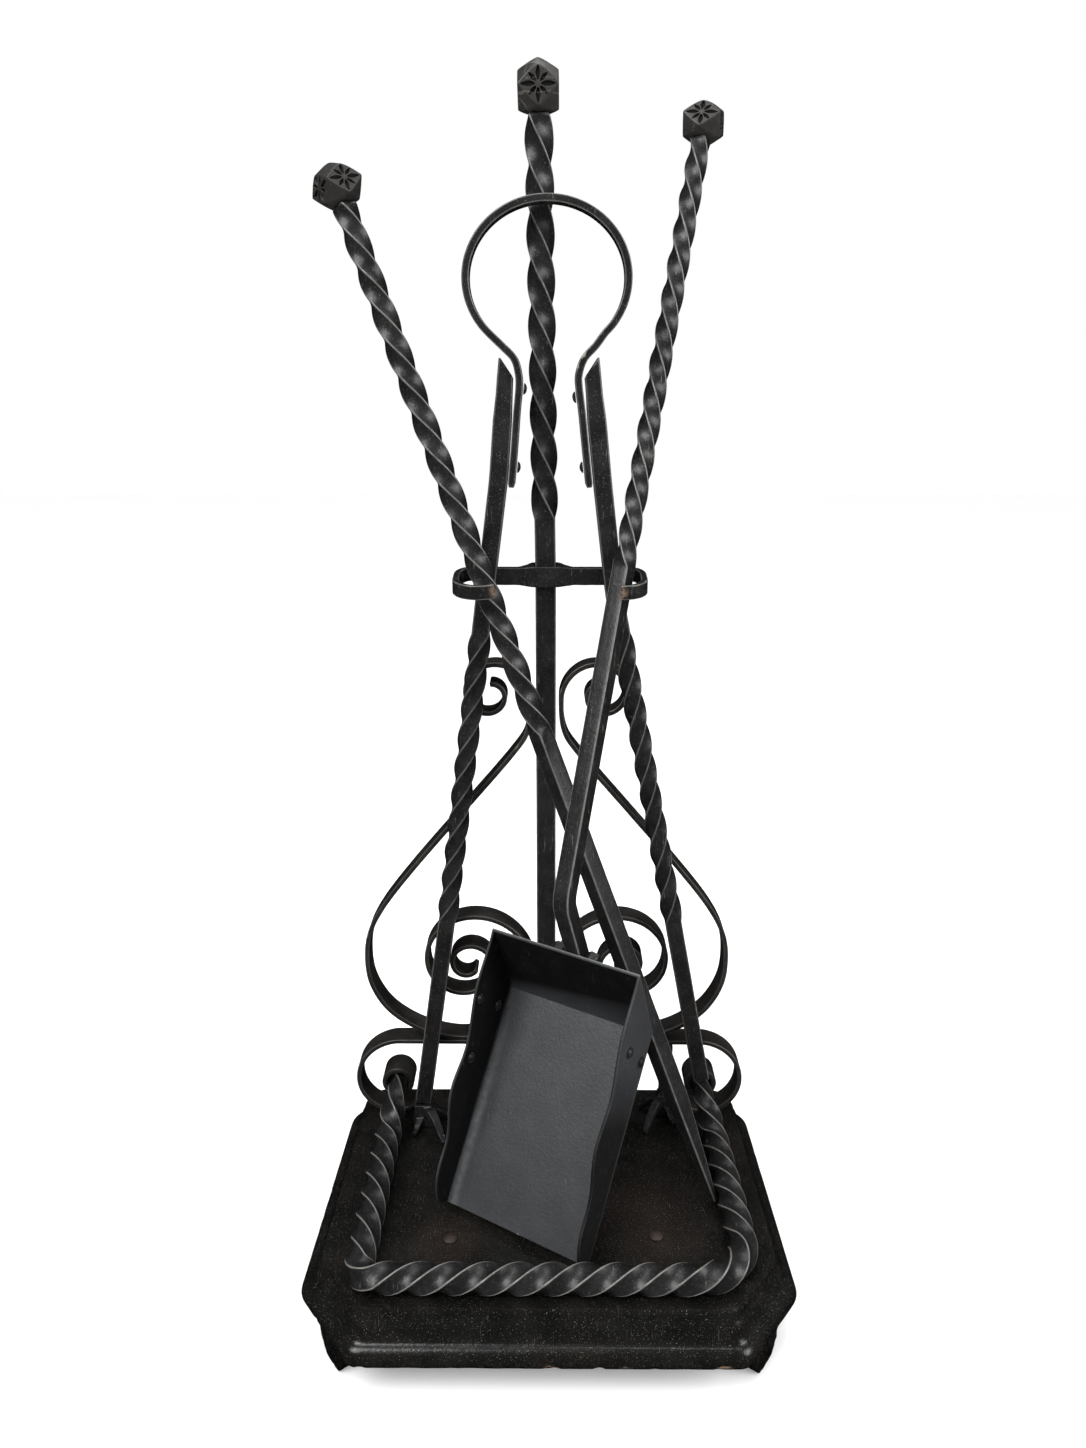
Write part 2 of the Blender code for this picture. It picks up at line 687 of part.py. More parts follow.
def make_loop(material):
    """Flat bar bent to a ring, with its two ends running down the legs' inner faces."""
    cx, cz = LOOP_CENTRE
    arc = []
    for index in range(33):
        angle = -math.pi / 2 - LOOP_OPENING - index / 32 * (2 * math.pi - 2 * LOOP_OPENING)
        arc.append((cx + LOOP_RADIUS * math.cos(angle), cz + LOOP_RADIUS * LOOP_SQUASH * math.sin(angle)))
    left = strap_line(LEFT_LEG_LINE, LEFT_NECK, -1)
    right = strap_line(RIGHT_LEG_LINE, RIGHT_NECK, 1)
    rise = smooth_curve(left[2:] + [arc[0]], 3)
    fall = smooth_curve([arc[-1]] + right[:1:-1], 3)
    outline = left[:2] + rise[:-1] + arc + fall[1:] + right[1::-1]
    points = [at(x, LEG_Y, z) for x, z in outline]
    shape = band_along(points, BACK, LOOP_WIDTH, [LOOP_THICKNESS] * len(points))
    return add_object("omega_loop", shape, material, smooth_angle=math.radians(35))


def make_loop_rivets(material):
    """Two domed rivets through each strap, heads on the inner side."""
    places = (("left", LEFT_LEG_LINE, LEFT_NECK, -1, LEFT_RIVET_UPPER_Z),
              ("right", RIGHT_LEG_LINE, RIGHT_NECK, 1, RIGHT_RIVET_UPPER_Z))
    for label, line, neck, side, upper_z in places:
        strap = strap_line(line, neck, side)
        for place, z in (("upper", upper_z), ("lower", LOOP_RIVET_LOWER_Z)):
            low, high = next(pair for pair in zip(strap, strap[1:]) if pair[1][1] >= z)
            x = low[0] + (high[0] - low[0]) * (z - low[1]) / (high[1] - low[1])
            outward = Vector((-side * (high[1] - low[1]), 0, side * (high[0] - low[0]))).normalized()
            seat = at(x, LEG_Y, z) + outward * (LOOP_THICKNESS / 2 + CLEARANCE)
            head = rivet_head(seat, outward, LOOP_RIVET_RADIUS, LOOP_RIVET_RISE)
            add_object(f"{label}_{place}_loop_rivet", head, material, smooth_angle=math.radians(40))


# ---------------------------------------------------------------- scroll panel
def scroll_outline():
    """Middle line of the left S-scroll, from its upper curl to its lower volute."""
    curl = spiral(CURL_CENTRE, CURL_START_RADIUS, CURL_DECAY, CURL_QUARTERS, 0.0, 1, 7)
    curl.reverse()
    sweep = [(-0.0138, 0.3400), (-0.0240, 0.3230), (-0.0560, 0.2845), (-0.0890, 0.2450), (-0.1106, 0.2165),
             (-0.1212, 0.1958), (-0.1240, 0.1760), (-0.1215, 0.1570), (-0.1118, 0.1390), (-0.0965, 0.1262),
             (-0.0780, 0.1182)]
    volute = spiral(VOLUTE_CENTRE, VOLUTE_START_RADIUS, VOLUTE_DECAY, VOLUTE_QUARTERS,
                    -math.pi / 2, 1, 7)
    middle = smooth_curve([curl[-3], curl[-1]] + sweep + [volute[0], volute[2]], 4)
    start = middle.index(tuple(curl[-1]))
    end = middle.index(tuple(volute[0]))
    return curl[:-1] + middle[start:end] + volute


def mirror_x(x, z):
    """The same place on the other side of the leaning centre post."""
    return 2 * (post_x(z)) - x


def make_scroll(name, mirrored, material):
    points = []
    outline = scroll_outline()
    for x, z in outline:
        if mirrored:
            x = mirror_x(x, z)
        points.append(at(x, PANEL_Y, z))
    count = len(points)
    thicknesses = []
    for index in range(count):
        from_end = min(index, count - 1 - index)
        thicknesses.append(BAND_THICKNESS * (1.0 if from_end > 2 else 1.25))
    shape = band_along(points, BACK, BAND_WIDTH, thicknesses)
    return add_object(name, shape, material, smooth_angle=math.radians(35))


def bottom_band_z():
    """Middle of the bottom band, just under the lowest point of the scrolls."""
    lowest = min(z for _, z in scroll_outline())
    return lowest - BAND_THICKNESS - CLEARANCE


def make_bottom_scroll(name, side, material):
    """Flat band from the centre post out to one side, its end rolled round the rail socket."""
    top_z = bottom_band_z()
    rolled = spiral((SOCKET_X, SOCKET_Z), top_z - SOCKET_Z, ROLL_DECAY, ROLL_QUARTERS,
                    math.pi / 2, -1, 8)
    post_face = side * (post_x(top_z)) + POST_BAR / 2 + CLEARANCE
    outline = [(post_face, top_z), (0.03, top_z), (0.06, top_z), (0.09, top_z)] + rolled
    points = [at(side * x, PANEL_Y, z) for x, z in outline]
    shape = band_along(points, BACK, BAND_WIDTH, [BAND_THICKNESS] * len(points))
    return add_object(name, shape, material, smooth_angle=math.radians(35))


def make_sockets(material):
    """Short tubes that the rail's rear ends plug into."""
    sides = 20
    for label, side in (("left", -1), ("right", 1)):
        rows = []
        front = PANEL_Y - BAND_WIDTH / 2 - 0.001
        for radius, y in ((SOCKET_OUTER, front), (SOCKET_OUTER, front + SOCKET_DEPTH),
                          (SOCKET_INNER, front + SOCKET_DEPTH), (SOCKET_INNER, front)):
            row = []
            for index in range(sides):
                angle = 2 * math.pi * index / sides
                x = side * SOCKET_X + radius * math.cos(angle)
                row.append(at(x, y, SOCKET_Z + radius * math.sin(angle)))
            rows.append(row)
        add_object(f"{label}_rail_socket", loft(rows, closed=True), material, smooth_angle=math.radians(35))


def make_scroll_rivets(material):
    """Rivets that hold each scroll to the bottom band, heads on the scroll's upper face."""
    z = VOLUTE_CENTRE[1] - VOLUTE_START_RADIUS + BAND_THICKNESS / 2 + SCROLL_RIVET_SEAT
    for label, x in (("left", VOLUTE_CENTRE[0]), ("right", mirror_x(VOLUTE_CENTRE[0], z))):
        head = rivet_head(at(x, PANEL_Y, z), UP, SCROLL_RIVET_RADIUS, SCROLL_RIVET_RISE)
        add_object(f"{label}_scroll_rivet", head, material, smooth_angle=math.radians(40))


# ---------------------------------------------------------------- claw feet
def claw_toe(hub, direction, reach, rise, width):
    """One toe: it leaves the hub, arches over and comes down to its curled tip."""
    points = []
    for share in (0.0, 0.2, 0.4, 0.6, 0.8, 1.0):
        height = hub.z * (1 - share) + BASE_TOP * share + rise * math.sin(math.pi * share ** 0.8)
        spot = hub + direction * (reach * share)
        points.append(Vector((spot.x, spot.y, max(height, BASE_TOP + ROLL_FLOOR_GAP))))
    sides = [width, width * 0.95, width * 0.9, width * 0.8, width * 0.66, width * 0.5]
    return square_bar(points, UP, sides, [0.0] * len(points))


def make_claw(name, foot_x, foot_y, mirror, bar, material):
    """A forged foot: a flared hub with three toes."""
    base_z = BASE_TOP + CLEARANCE
    rings = []
    levels = ((base_z, CLAW_HUB / 2), (base_z + CLAW_FLARE, CLAW_HUB / 2), (CLAW_TOP, bar / 2 + 0.0004))
    for z, half in levels:
        rings.append([at(foot_x + sx * half, foot_y + sy * half, z) for sx, sy in
                      ((-1, -1), (1, -1), (1, 1), (-1, 1))])
    hub = add_object(name, loft(rings), material, smooth_angle=math.radians(30))
    start = at(foot_x, foot_y, base_z + 0.0050)
    for number, (sideways, backward, reach, rise, width) in enumerate(CLAW_TOES, start=1):
        direction = Vector((mirror * sideways, backward, 0.0)).normalized()
        toe = add_object(f"{name}_toe_{number}", claw_toe(start, direction, reach, rise, width), material)
        toe.hide_render = True
        toe.display_type = "WIRE"
        join = hub.modifiers.new(f"Toe {number}", "BOOLEAN")
        join.operation = "UNION"
        join.solver = "EXACT"
        join.object = toe
    return hub


def make_right_stay(material):
    """Short upright between the right claw foot and the bottom scroll band."""
    top_z = bottom_band_z() - BAND_THICKNESS / 2 - CLEARANCE
    foot = at(RIGHT_STAY_X, PANEL_Y - RIGHT_STAY_SET_FORWARD, CLAW_TOP + CLEARANCE)
    head = at(RIGHT_STAY_X, PANEL_Y - RIGHT_STAY_SET_FORWARD, top_z)
    shape = square_bar([foot, head], BACK, [RIGHT_STAY_BAR] * 2, [0.0, 0.0])
    return add_object("right_panel_stay", shape, material)


# ---------------------------------------------------------------- finials
def finial_shape(bottom, axis, facing, tall):
    """A block with its corners cut to triangles: four diamond sides and a low crown."""
    half = FINIAL_HALF_WIDTH
    across = axis.cross(facing).normalized()
    toward = across.cross(axis).normalized()
    centre = bottom + axis * tall

    def spot(a, b, c):
        return centre + across * a + toward * b + axis * c

    shape = bmesh.new()
    belt = [shape.verts.new(spot(sx * half, sy * half, 0)) for sx, sy in ((-1, -1), (1, -1), (1, 1), (-1, 1))]
    edges = ((0, -half), (half, 0), (0, half), (-half, 0))
    top = [shape.verts.new(spot(a, b, tall)) for a, b in edges]
    low = [shape.verts.new(spot(a, b, -tall)) for a, b in edges]
    crown = shape.verts.new(spot(0, 0, tall + FINIAL_CROWN))
    for index in range(4):
        after = (index + 1) % 4
        shape.faces.new((belt[index], low[index], belt[after], top[index]))
        shape.faces.new((top[index], belt[after], top[after]))
        shape.faces.new((low[index], low[after], belt[after]))
        shape.faces.new((top[index], top[after], crown))
    shape.faces.new(list(reversed(low)))
    return shape


def make_finial(name, bottom, axis, facing, half_height, material):
    return add_object(name, finial_shape(bottom, axis, facing, half_height), material, origin=bottom)


# ---------------------------------------------------------------- poker
def make_poker(iron, finial_iron):
    point = at(*POKER_POINT)
    axis = (at(*POKER_AT_HOOK) - point).normalized()
    lengths = [0.0, 0.012, 0.040, POKER_TAPER, 0.200, POKER_TWIST_START]
    count = round((POKER_LENGTH - POKER_TWIST_START) / (POKER_QUARTER_TURN / 4))
    for index in range(1, count + 1):
        lengths.append(POKER_TWIST_START + (POKER_LENGTH - POKER_TWIST_START) * index / count)
    points = [point + axis * length for length in lengths]
    turns = [angle + math.pi / 4 for angle in
             twist_turns(lengths, POKER_TWIST_START, POKER_LENGTH, POKER_QUARTER_TURN, 1)]
    sides = []
    for length in lengths:
        if length < POKER_TAPER:
            sides.append(POKER_TIP_BAR + (POKER_BAR - POKER_TIP_BAR) * (length / POKER_TAPER) ** 0.8)
        else:
            sides.append(POKER_BAR)
    shape = square_bar(points, BACK, sides, turns)
    shaft = add_object("poker_shaft", shape, iron, origin=point, smooth_angle=math.radians(30))
    bottom = point + axis * (POKER_LENGTH + CLEARANCE)
    finial = make_finial("poker_finial", bottom, axis, POKER_FINIAL_FACING, TOOL_FINIAL_HALF_HEIGHT,
                         finial_iron)
    parent_keeping_place(finial, shaft)


# ---------------------------------------------------------------- shovel
def pan_frame():
    """Across, along and out-of-the-pan directions, and the middle of the lip."""
    turn = (Matrix.Rotation(PAN_YAW, 3, "Z") @ Matrix.Rotation(-PAN_ROLL, 3, "Y")
            @ Matrix.Rotation(PAN_SLOPE, 3, "X"))
    return turn.col[0].copy(), turn.col[1].copy(), turn.col[2].copy(), at(*PAN_LIP_MIDDLE)


def wall_height(share):
    """Height of a side wall from the lip (0) to the back (1), scalloped along its rim."""
    rise = PAN_LIP_HEIGHT + (PAN_BACK_HEIGHT - PAN_LIP_HEIGHT) * share ** 0.55
    scallop = PAN_SCALLOP * math.sin(share * math.pi * 5.2) * math.sin(math.pi * share) ** 0.5
    return rise + scallop


def pan_point(frame, across, along, out):
    ex, el, en, lip = frame
    return lip + ex * across + el * along + en * out


def make_pan(material):
    """Open sheet pan: floor, leaning back wall and two scalloped side walls, one folded sheet."""
    frame = pan_frame()
    outer_half = PAN_WIDTH / 2
    inner_half = outer_half - PAN_SHEET
    shape = bmesh.new()
    rows = []
    for index in range(PAN_STATIONS + 1):
        share = index / PAN_STATIONS
        along = PAN_LENGTH * share
        high = wall_height(share)
        lean = PAN_BACK_LEAN * high * share ** 3
        section = [(-outer_half, high, lean), (-outer_half, 0.0, 0.0),
                   (outer_half, 0.0, 0.0), (outer_half, high, lean),
                   (inner_half, high, lean), (inner_half, PAN_SHEET, 0.0),
                   (-inner_half, PAN_SHEET, 0.0), (-inner_half, high, lean)]
        row = []
        for across, out, shift in section:
            row.append(shape.verts.new(pan_point(frame, across, along + shift, out)))
        rows.append(row)
    for lower, upper in zip(rows, rows[1:]):
        for index in range(8):
            after = (index + 1) % 8
            shape.faces.new((lower[index], lower[after], upper[after], upper[index]))
    first = rows[0]
    last = rows[-1]
    shape.faces.new((first[0], first[7], first[6], first[1]))
    shape.faces.new((first[1], first[6], first[5], first[2]))
    shape.faces.new((first[2], first[5], first[4], first[3]))
    lean_sheet = PAN_SHEET * PAN_BACK_THICKNESS
    high = wall_height(1.0)
    lean = PAN_BACK_LEAN * high
    back = []
    for across, along, out in ((-outer_half, PAN_LENGTH + lean_sheet, 0.0),
                               (outer_half, PAN_LENGTH + lean_sheet, 0.0),
                               (outer_half, PAN_LENGTH + lean_sheet + lean, high),
                               (-outer_half, PAN_LENGTH + lean_sheet + lean, high)):
        back.append(shape.verts.new(pan_point(frame, across, along, out)))
    shape.faces.new((last[1], last[2], back[1], back[0]))
    shape.faces.new((last[2], last[3], back[2], back[1]))
    shape.faces.new((last[0], last[1], back[0], back[3]))
    shape.faces.new((back[0], back[1], back[2], back[3]))
    shape.faces.new((last[5], last[6], last[7], last[4]))
    shape.faces.new((last[7], last[0], back[3], back[2], last[3], last[4]))
    return add_object("shovel_pan", shape, material, origin=frame[3])


def back_wall_top(frame):
    high = wall_height(1.0)
    lean = PAN_BACK_LEAN * high
    return pan_point(frame, 0.0, PAN_LENGTH + PAN_SHEET * PAN_BACK_THICKNESS + lean, high)


def make_shovel(iron, pan_iron, finial_iron):
    frame = pan_frame()
    ex, el, en, _ = frame
    high = wall_height(1.0)
    lean = PAN_BACK_LEAN * high
    wall_up = (el * lean + en * high).normalized()
    wall_out = ex.cross(wall_up).normalized()
    if wall_out.dot(el) < 0:
        wall_out = -wall_out
    pan = make_pan(pan_iron)
    top = back_wall_top(frame) + ex * SHOVEL_ACROSS + wall_out * (SHOVEL_BAR / 2 + CLEARANCE)
    low_end = top - wall_up * SHOVEL_STRAP_OVERLAP
    knee = top + wall_up * SHOVEL_KNEE_RISE
    hook = at(*SHOVEL_AT_HOOK)
    axis = (hook - knee).normalized()
    twist_start = hook + axis * SHOVEL_TWIST_ABOVE_HOOK
    handle_top = knee + axis * SHOVEL_TOP_LENGTH
    points = rounded_path([low_end, knee, twist_start], [SHOVEL_KNEE_RADIUS], 0.006, straight_step=0.08)
    plain_count = len(points)
    points += spaced(twist_start, handle_top, SHOVEL_QUARTER_TURN / 4)[1:]
    lengths = lengths_along(points)
    start = lengths[plain_count - 1]
    turns = twist_turns(lengths, start, lengths[-1], SHOVEL_QUARTER_TURN, 1)
    sides = twist_sides(lengths, start, lengths[-1] + SHOVEL_BAR, SHOVEL_BAR)
    shape = square_bar(points, wall_out, sides, turns)
    shaft = add_object("shovel_shaft", shape, iron, origin=knee, smooth_angle=math.radians(30))
    finial = make_finial("shovel_finial", handle_top + axis * CLEARANCE, axis, SHOVEL_FINIAL_FACING,
                         TOOL_FINIAL_HALF_HEIGHT, finial_iron)
    bolts = []
    for label, side in (("left", -1), ("right", 1)):
        across = SHOVEL_ACROSS + side * PAN_BOLT_SPREAD
        seat = back_wall_top(frame) + ex * across - wall_up * PAN_BOLT_DROP + wall_out * CLEARANCE
        nut = rod(seat, seat + wall_out * PAN_BOLT_RISE, PAN_BOLT_RADIUS, 6)
        bolts.append(add_object(f"{label}_pan_bolt", nut, iron))
    rivets = []
    seats = (("left", CLEARANCE + PAN_SHEET - PAN_WIDTH / 2, LEFT_PAN_RIVETS),
             ("right", CLEARANCE + PAN_WIDTH / 2, RIGHT_PAN_RIVETS))
    for label, across, spots in seats:
        for number, (along, out) in enumerate(spots, start=1):
            head = rivet_head(pan_point(frame, across, along, out), ex, PAN_RIVET_RADIUS, PAN_RIVET_RISE)
            rivets.append(add_object(f"{label}_pan_rivet_{number}", head, iron,
                                     smooth_angle=math.radians(40)))
    for child in [pan, finial] + bolts + rivets:
        parent_keeping_place(child, shaft)


# ---------------------------------------------------------------- assembly
def build():
    clear_scene()
    iron = make_material("black_wrought_iron", (0.020, 0.020, 0.021), 0.45, 0.85)
    band_iron = make_material("brown_black_band_iron", (0.032, 0.028, 0.025), 0.50, 0.80)
    base_iron = make_material("worn_cast_base", (0.016, 0.014, 0.012), 0.38, 0.60)
    pan_iron = make_material("blued_sheet_iron", (0.050, 0.055, 0.060), 0.42, 0.85)
    finial_iron = make_material("carved_finial_iron", (0.030, 0.028, 0.026), 0.48, 0.80)
    rust_iron = make_material("rusty_bolt_iron", (0.070, 0.040, 0.028), 0.65, 0.60)

    make_base(base_iron)
    make_feet(base_iron)
    make_base_bolts(rust_iron)
    make_rail(iron)
    make_legs(iron)
    make_centre_post(iron)
    make_finial("centre_finial", post_at(POST_TOP + CLEARANCE), Vector((POST_UPPER_LEAN, 0, 1)).normalized(),
                -BACK, CENTRE_FINIAL_HALF_HEIGHT, finial_iron)
    make_crossbar(iron)
    make_hook("left_tool_hook", LEFT_HOOK_X, LEFT_HOOK_RADIUS, LEFT_HOOK_END, -1, iron)
    make_hook("right_tool_hook", RIGHT_HOOK_X, RIGHT_HOOK_RADIUS, RIGHT_HOOK_END, 1, iron)
    make_loop(iron)
    make_loop_rivets(iron)
    make_scroll("left_scroll", False, band_iron)
    make_scroll("right_scroll", True, band_iron)
    make_bottom_scroll("left_bottom_scroll", -1, band_iron)
    make_bottom_scroll("right_bottom_scroll", 1, band_iron)
    make_sockets(band_iron)
    make_scroll_rivets(band_iron)
    make_claw("left_claw_foot", LEFT_LEG_LINE[-1][0], LEG_Y, -1, LEG_BAR, iron)
    make_claw("right_claw_foot", RIGHT_STAY_X, PANEL_Y - RIGHT_STAY_SET_FORWARD, 1, RIGHT_STAY_BAR, iron)
    make_right_stay(iron)
    make_poker(iron, finial_iron)
    make_shovel(iron, pan_iron, finial_iron)


build()
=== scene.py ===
"""Looks of the fireplace tool set: forged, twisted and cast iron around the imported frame.

Metres, +Z up, the front of the set faces -Y.
"""
import json
from math import atan2, copysign, cos, degrees, exp, hypot, pi, radians, sin, sqrt, tan

import bmesh
import bpy
from mathutils import Matrix, Vector, noise


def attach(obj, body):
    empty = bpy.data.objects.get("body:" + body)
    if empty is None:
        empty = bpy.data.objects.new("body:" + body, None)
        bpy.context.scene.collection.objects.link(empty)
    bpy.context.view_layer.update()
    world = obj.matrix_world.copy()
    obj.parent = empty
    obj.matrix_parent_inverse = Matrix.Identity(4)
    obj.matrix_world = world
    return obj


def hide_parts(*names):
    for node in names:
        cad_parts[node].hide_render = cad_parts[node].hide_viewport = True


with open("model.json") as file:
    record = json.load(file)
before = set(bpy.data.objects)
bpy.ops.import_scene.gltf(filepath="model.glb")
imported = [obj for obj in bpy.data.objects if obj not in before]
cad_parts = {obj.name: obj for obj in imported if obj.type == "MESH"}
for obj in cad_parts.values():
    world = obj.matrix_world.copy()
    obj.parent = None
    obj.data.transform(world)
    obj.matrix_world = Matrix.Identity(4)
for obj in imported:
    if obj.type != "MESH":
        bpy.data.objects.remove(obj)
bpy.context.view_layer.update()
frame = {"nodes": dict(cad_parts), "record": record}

# -------- driving dimensions
CLEARANCE = 0.0004
BASE_Y = -0.0218  # the middle of the base lies this far forward of the origin

# moulded base
BASE_HALF_WIDTH = 0.149
BASE_REAR_HALF_WIDTH = 0.1455
BASE_FRONT = 0.1135
BASE_REAR = 0.1165
BASE_FRONT_CHAMFER = (0.037, 0.049)
BASE_REAR_CHAMFER = (0.016, 0.019)
BASE_UNDERSIDE = 0.02
BASE_TOP = 0.054
BASE_NOSE_RADIUS = 0.0078
BASE_NOSE_RISE = 0.0092
BASE_COVE = ((0.0085, 0.014), (0.01, 0.009), (0.0122, 0.0055), (0.0126, 0.0025), (0.014, 0.0))
BASE_SIDE_STEPS = 60
BASE_CORNER_CUT = 0.005  # how far from each corner its rounding starts
BASE_CORNER_STEPS = 6
BASE_NOSE_SET_BACK = 0.0004
BASE_NOSE_SWEEP = 150  # degrees of arc round the nose
BASE_NOSE_STEPS = 16
BASE_UNDERSIDE_INSET = 0.012
BASE_TOP_RINGS = 26
CAST_UNEVENNESS = 0.00012
CHIP_DEPTH = 0.0012
CHIP_SCALE = 120.0
CHIP_OFFSET = Vector((3.1, 7.7, 1.3))
CHIP_BAND_RISE = 0.004  # the worst chips lie this far above the underside
CHIP_BAND_REACH = 0.01
DENT_SCALE = 60.0
RUST_SPOTS = ((-0.06, -0.047, 0.03), (0.066, -0.044, 0.04), (0.06, -0.02, 0.045))
RUST_SPOT_STRENGTH = 0.38

# square bar stock
POST_BAR = 0.0127
LEG_BAR = 0.011
POKER_BAR = 0.011
SHOVEL_BAR = 0.0105
RAIL_BAR = 0.0132
TWIST_THINNING = 0.96
EDGE_ROUNDING = 0.0011
STRIP_ROUNDING = 0.0008
STEP = 0.0011  # spacing of the sections along a bar
HAMMER_DEPTH = 0.00012
HAMMER_SCALE = 150.0

# fender rail
RAIL_LEFT_X = -0.109
RAIL_RIGHT_FRONT_X = 0.1155
RAIL_RIGHT_REAR_X = 0.1118
RAIL_FRONT_Y = -0.088
RAIL_LEFT_RADIUS = 0.01
RAIL_RIGHT_RADIUS = 0.03
RAIL_QUARTER_TURN = 0.0187
RAIL_REAR_Y = 0.081
RAIL_KICK_TOP_Y = 0.064
RAIL_KICK_FOOT_Y = 0.038
RAIL_KICK_RADIUS = 0.022
RAIL_END_BAR = 0.0092
RAIL_END_TAPER = 0.026

# planes of the stand, from the middle of the base
HOOK_Y = 0.0435
LEG_Y = 0.065
PANEL_Y = 0.0818
POST_Y = 0.08

# legs
LEFT_LEG_LINE = ((-0.0253, 0.5593), (-0.0303, 0.4964), (-0.0675, 0.213), (-0.0876, 0.0722))
RIGHT_LEG_LINE = ((0.0236, 0.5593), (0.0312, 0.4907), (0.0388, 0.429), (0.0812, 0.2137),
                  (0.1052, 0.0908))
LEG_BEND_RADIUS = 0.25
LEG_TWIST_TOP = 0.405
LEG_TWIST_BOTTOM = 0.212
LEG_QUARTER_TURN = 0.0195
LEG_TOP_SLANT = 1.4
LEG_TOP_SLANT_REACH = 0.0146
LEG_TOP_BAR = 0.0082
LEG_TOP_TAPER = 0.03

# centre post and crossbar
POST_FOOT_X = -0.0016
POST_LOWER_LEAN = -0.0024
POST_UPPER_LEAN = -0.016
POST_TWIST_BOTTOM = 0.472
POST_QUARTER_TURN = 0.0242
POST_TOP = 0.6914
CROSSBAR_Z = 0.438
CROSSBAR_THICKNESS = 0.008
CROSSBAR_HALF_LENGTH = 0.047

# carrying loop
LOOP_CENTRE = (-0.002, 0.6058)
LOOP_RADIUS = 0.0455
LOOP_SQUASH = 0.905
LOOP_OPENING = radians(46)
LOOP_STEPS = 32
LOOP_THICKNESS = 0.0042
LOOP_WIDTH = 0.012
STRAP_GAP = 0.0005
STRAP_HEIGHTS = (0.492, 0.515, 0.535)
LEFT_NECK = ((-0.0179, 0.5475), (-0.0181, 0.555), (-0.0206, 0.5635), (-0.0275, 0.5705))
RIGHT_NECK = ((0.0165, 0.5475), (0.0163, 0.555), (0.0192, 0.5635), (0.0256, 0.5705))

# tool hooks
HOOK_HEIGHT = 0.0085
HOOK_WALL = 0.004
HOOK_Z = 0.4392
HOOK_DROOP = radians(9.0)
LEFT_HOOK = (-0.042, 0.0131, radians(315))
RIGHT_HOOK = (0.0424, 0.0127, radians(278))
HOOK_ROOT_SHIFT = 0.0008
HOOK_SHOULDER_END = 0.01  # the shoulder's bend ends this far behind the ring's middle
HOOK_RING_START = 0.009
HOOK_DROOP_START = 0.012
HOOK_TIP_WEAR = 0.005  # how far the bare patch spreads from the hook's tip

# scroll panel
BAND_THICKNESS = 0.0032
BAND_WIDTH = 0.0166
VOLUTE_CENTRE = (-0.0555, 0.1722)
VOLUTE_START_RADIUS = 0.0565
VOLUTE_DECAY = 0.24
VOLUTE_QUARTERS = 8.6
CURL_CENTRE = (-0.0378, 0.3622)
CURL_START_RADIUS = 0.0254
CURL_DECAY = 0.255
CURL_QUARTERS = 5.0
SCROLL_SWEEP = ((-0.0138, 0.34), (-0.024, 0.323), (-0.056, 0.2845), (-0.089, 0.245),
                (-0.1106, 0.2165), (-0.1212, 0.1958), (-0.124, 0.176), (-0.1215, 0.157),
                (-0.1118, 0.139), (-0.0965, 0.1262), (-0.078, 0.1182))
SPIRAL_STEPS = 24  # points in each quarter turn of a spiral
SOCKET_X = 0.1064
SOCKET_Z = 0.08
SOCKET_OUTER = 0.0112
SOCKET_INNER = 0.0076
SOCKET_DEPTH = 0.019
SOCKET_LIP = 0.0009
SOCKET_SIDES = 56
ROLL_DECAY = 0.155
ROLL_QUARTERS = 2.35

# finials
FINIAL_HALF_WIDTH = 0.0113
CENTRE_FINIAL_HALF_HEIGHT = 0.0123
TOOL_FINIAL_HALF_HEIGHT = 0.0103
FINIAL_CROWN = 0.0032
POKER_FINIAL_FACING = Vector((0.62, -0.78, 0.0))
SHOVEL_FINIAL_FACING = Vector((-0.28, -0.96, 0.0))
FINIAL_GRID = 64
FINIAL_TOP_DOMING = 0.003  # how far the crown's outer edge has come down
FINIAL_FOOT_DOMING = 0.0018
FINIAL_WEAR_PASSES = 14
FINIAL_WEAR_SPREAD = 3  # rows of points beside an edge that wear with it
FINIAL_FACE_SHARE = 0.93  # nearer the middle than this, a point is not on a side face
FINIAL_EDGE_ANGLE = radians(20)
PETAL_DEPTH = 0.0014
PETAL_START = 0.13
PETAL_REACH = (0.86, 0.66)  # the petals toward the corners are longer than those between
PETAL_WIDTH = (0.125, 0.1)
PETAL_FULLNESS = 0.85
PETAL_FLOOR = 1.9  # above 1 the middle of each petal is flat
PETALS = 8

# poker
POKER_POINT = (0.1052, -0.0165, 0.0558)
POKER_AT_HOOK = (-0.038, 0.047, 0.437)
POKER_LENGTH = 0.6384
POKER_TWIST_START = 0.318
POKER_QUARTER_TURN = 0.0212
POKER_TAPER = 0.075
POKER_TAPER_CURVE = 0.8
POKER_TIP_BAR = 0.0022

# shovel
PAN_LIP_MIDDLE = (-0.0205, -0.0465, 0.0585)
PAN_YAW = radians(-30.3)
PAN_ROLL = radians(-1.9)
PAN_SLOPE = radians(58.5)
PAN_LENGTH = 0.1365
PAN_WIDTH = 0.101
PAN_SHEET = 0.0018
PAN_LIP_HEIGHT = 0.01
PAN_BACK_HEIGHT = 0.0475
PAN_BACK_LEAN = 0.65
PAN_SCALLOP = 0.0036
PAN_SCALLOPS = 5.2
PAN_STATIONS = 84
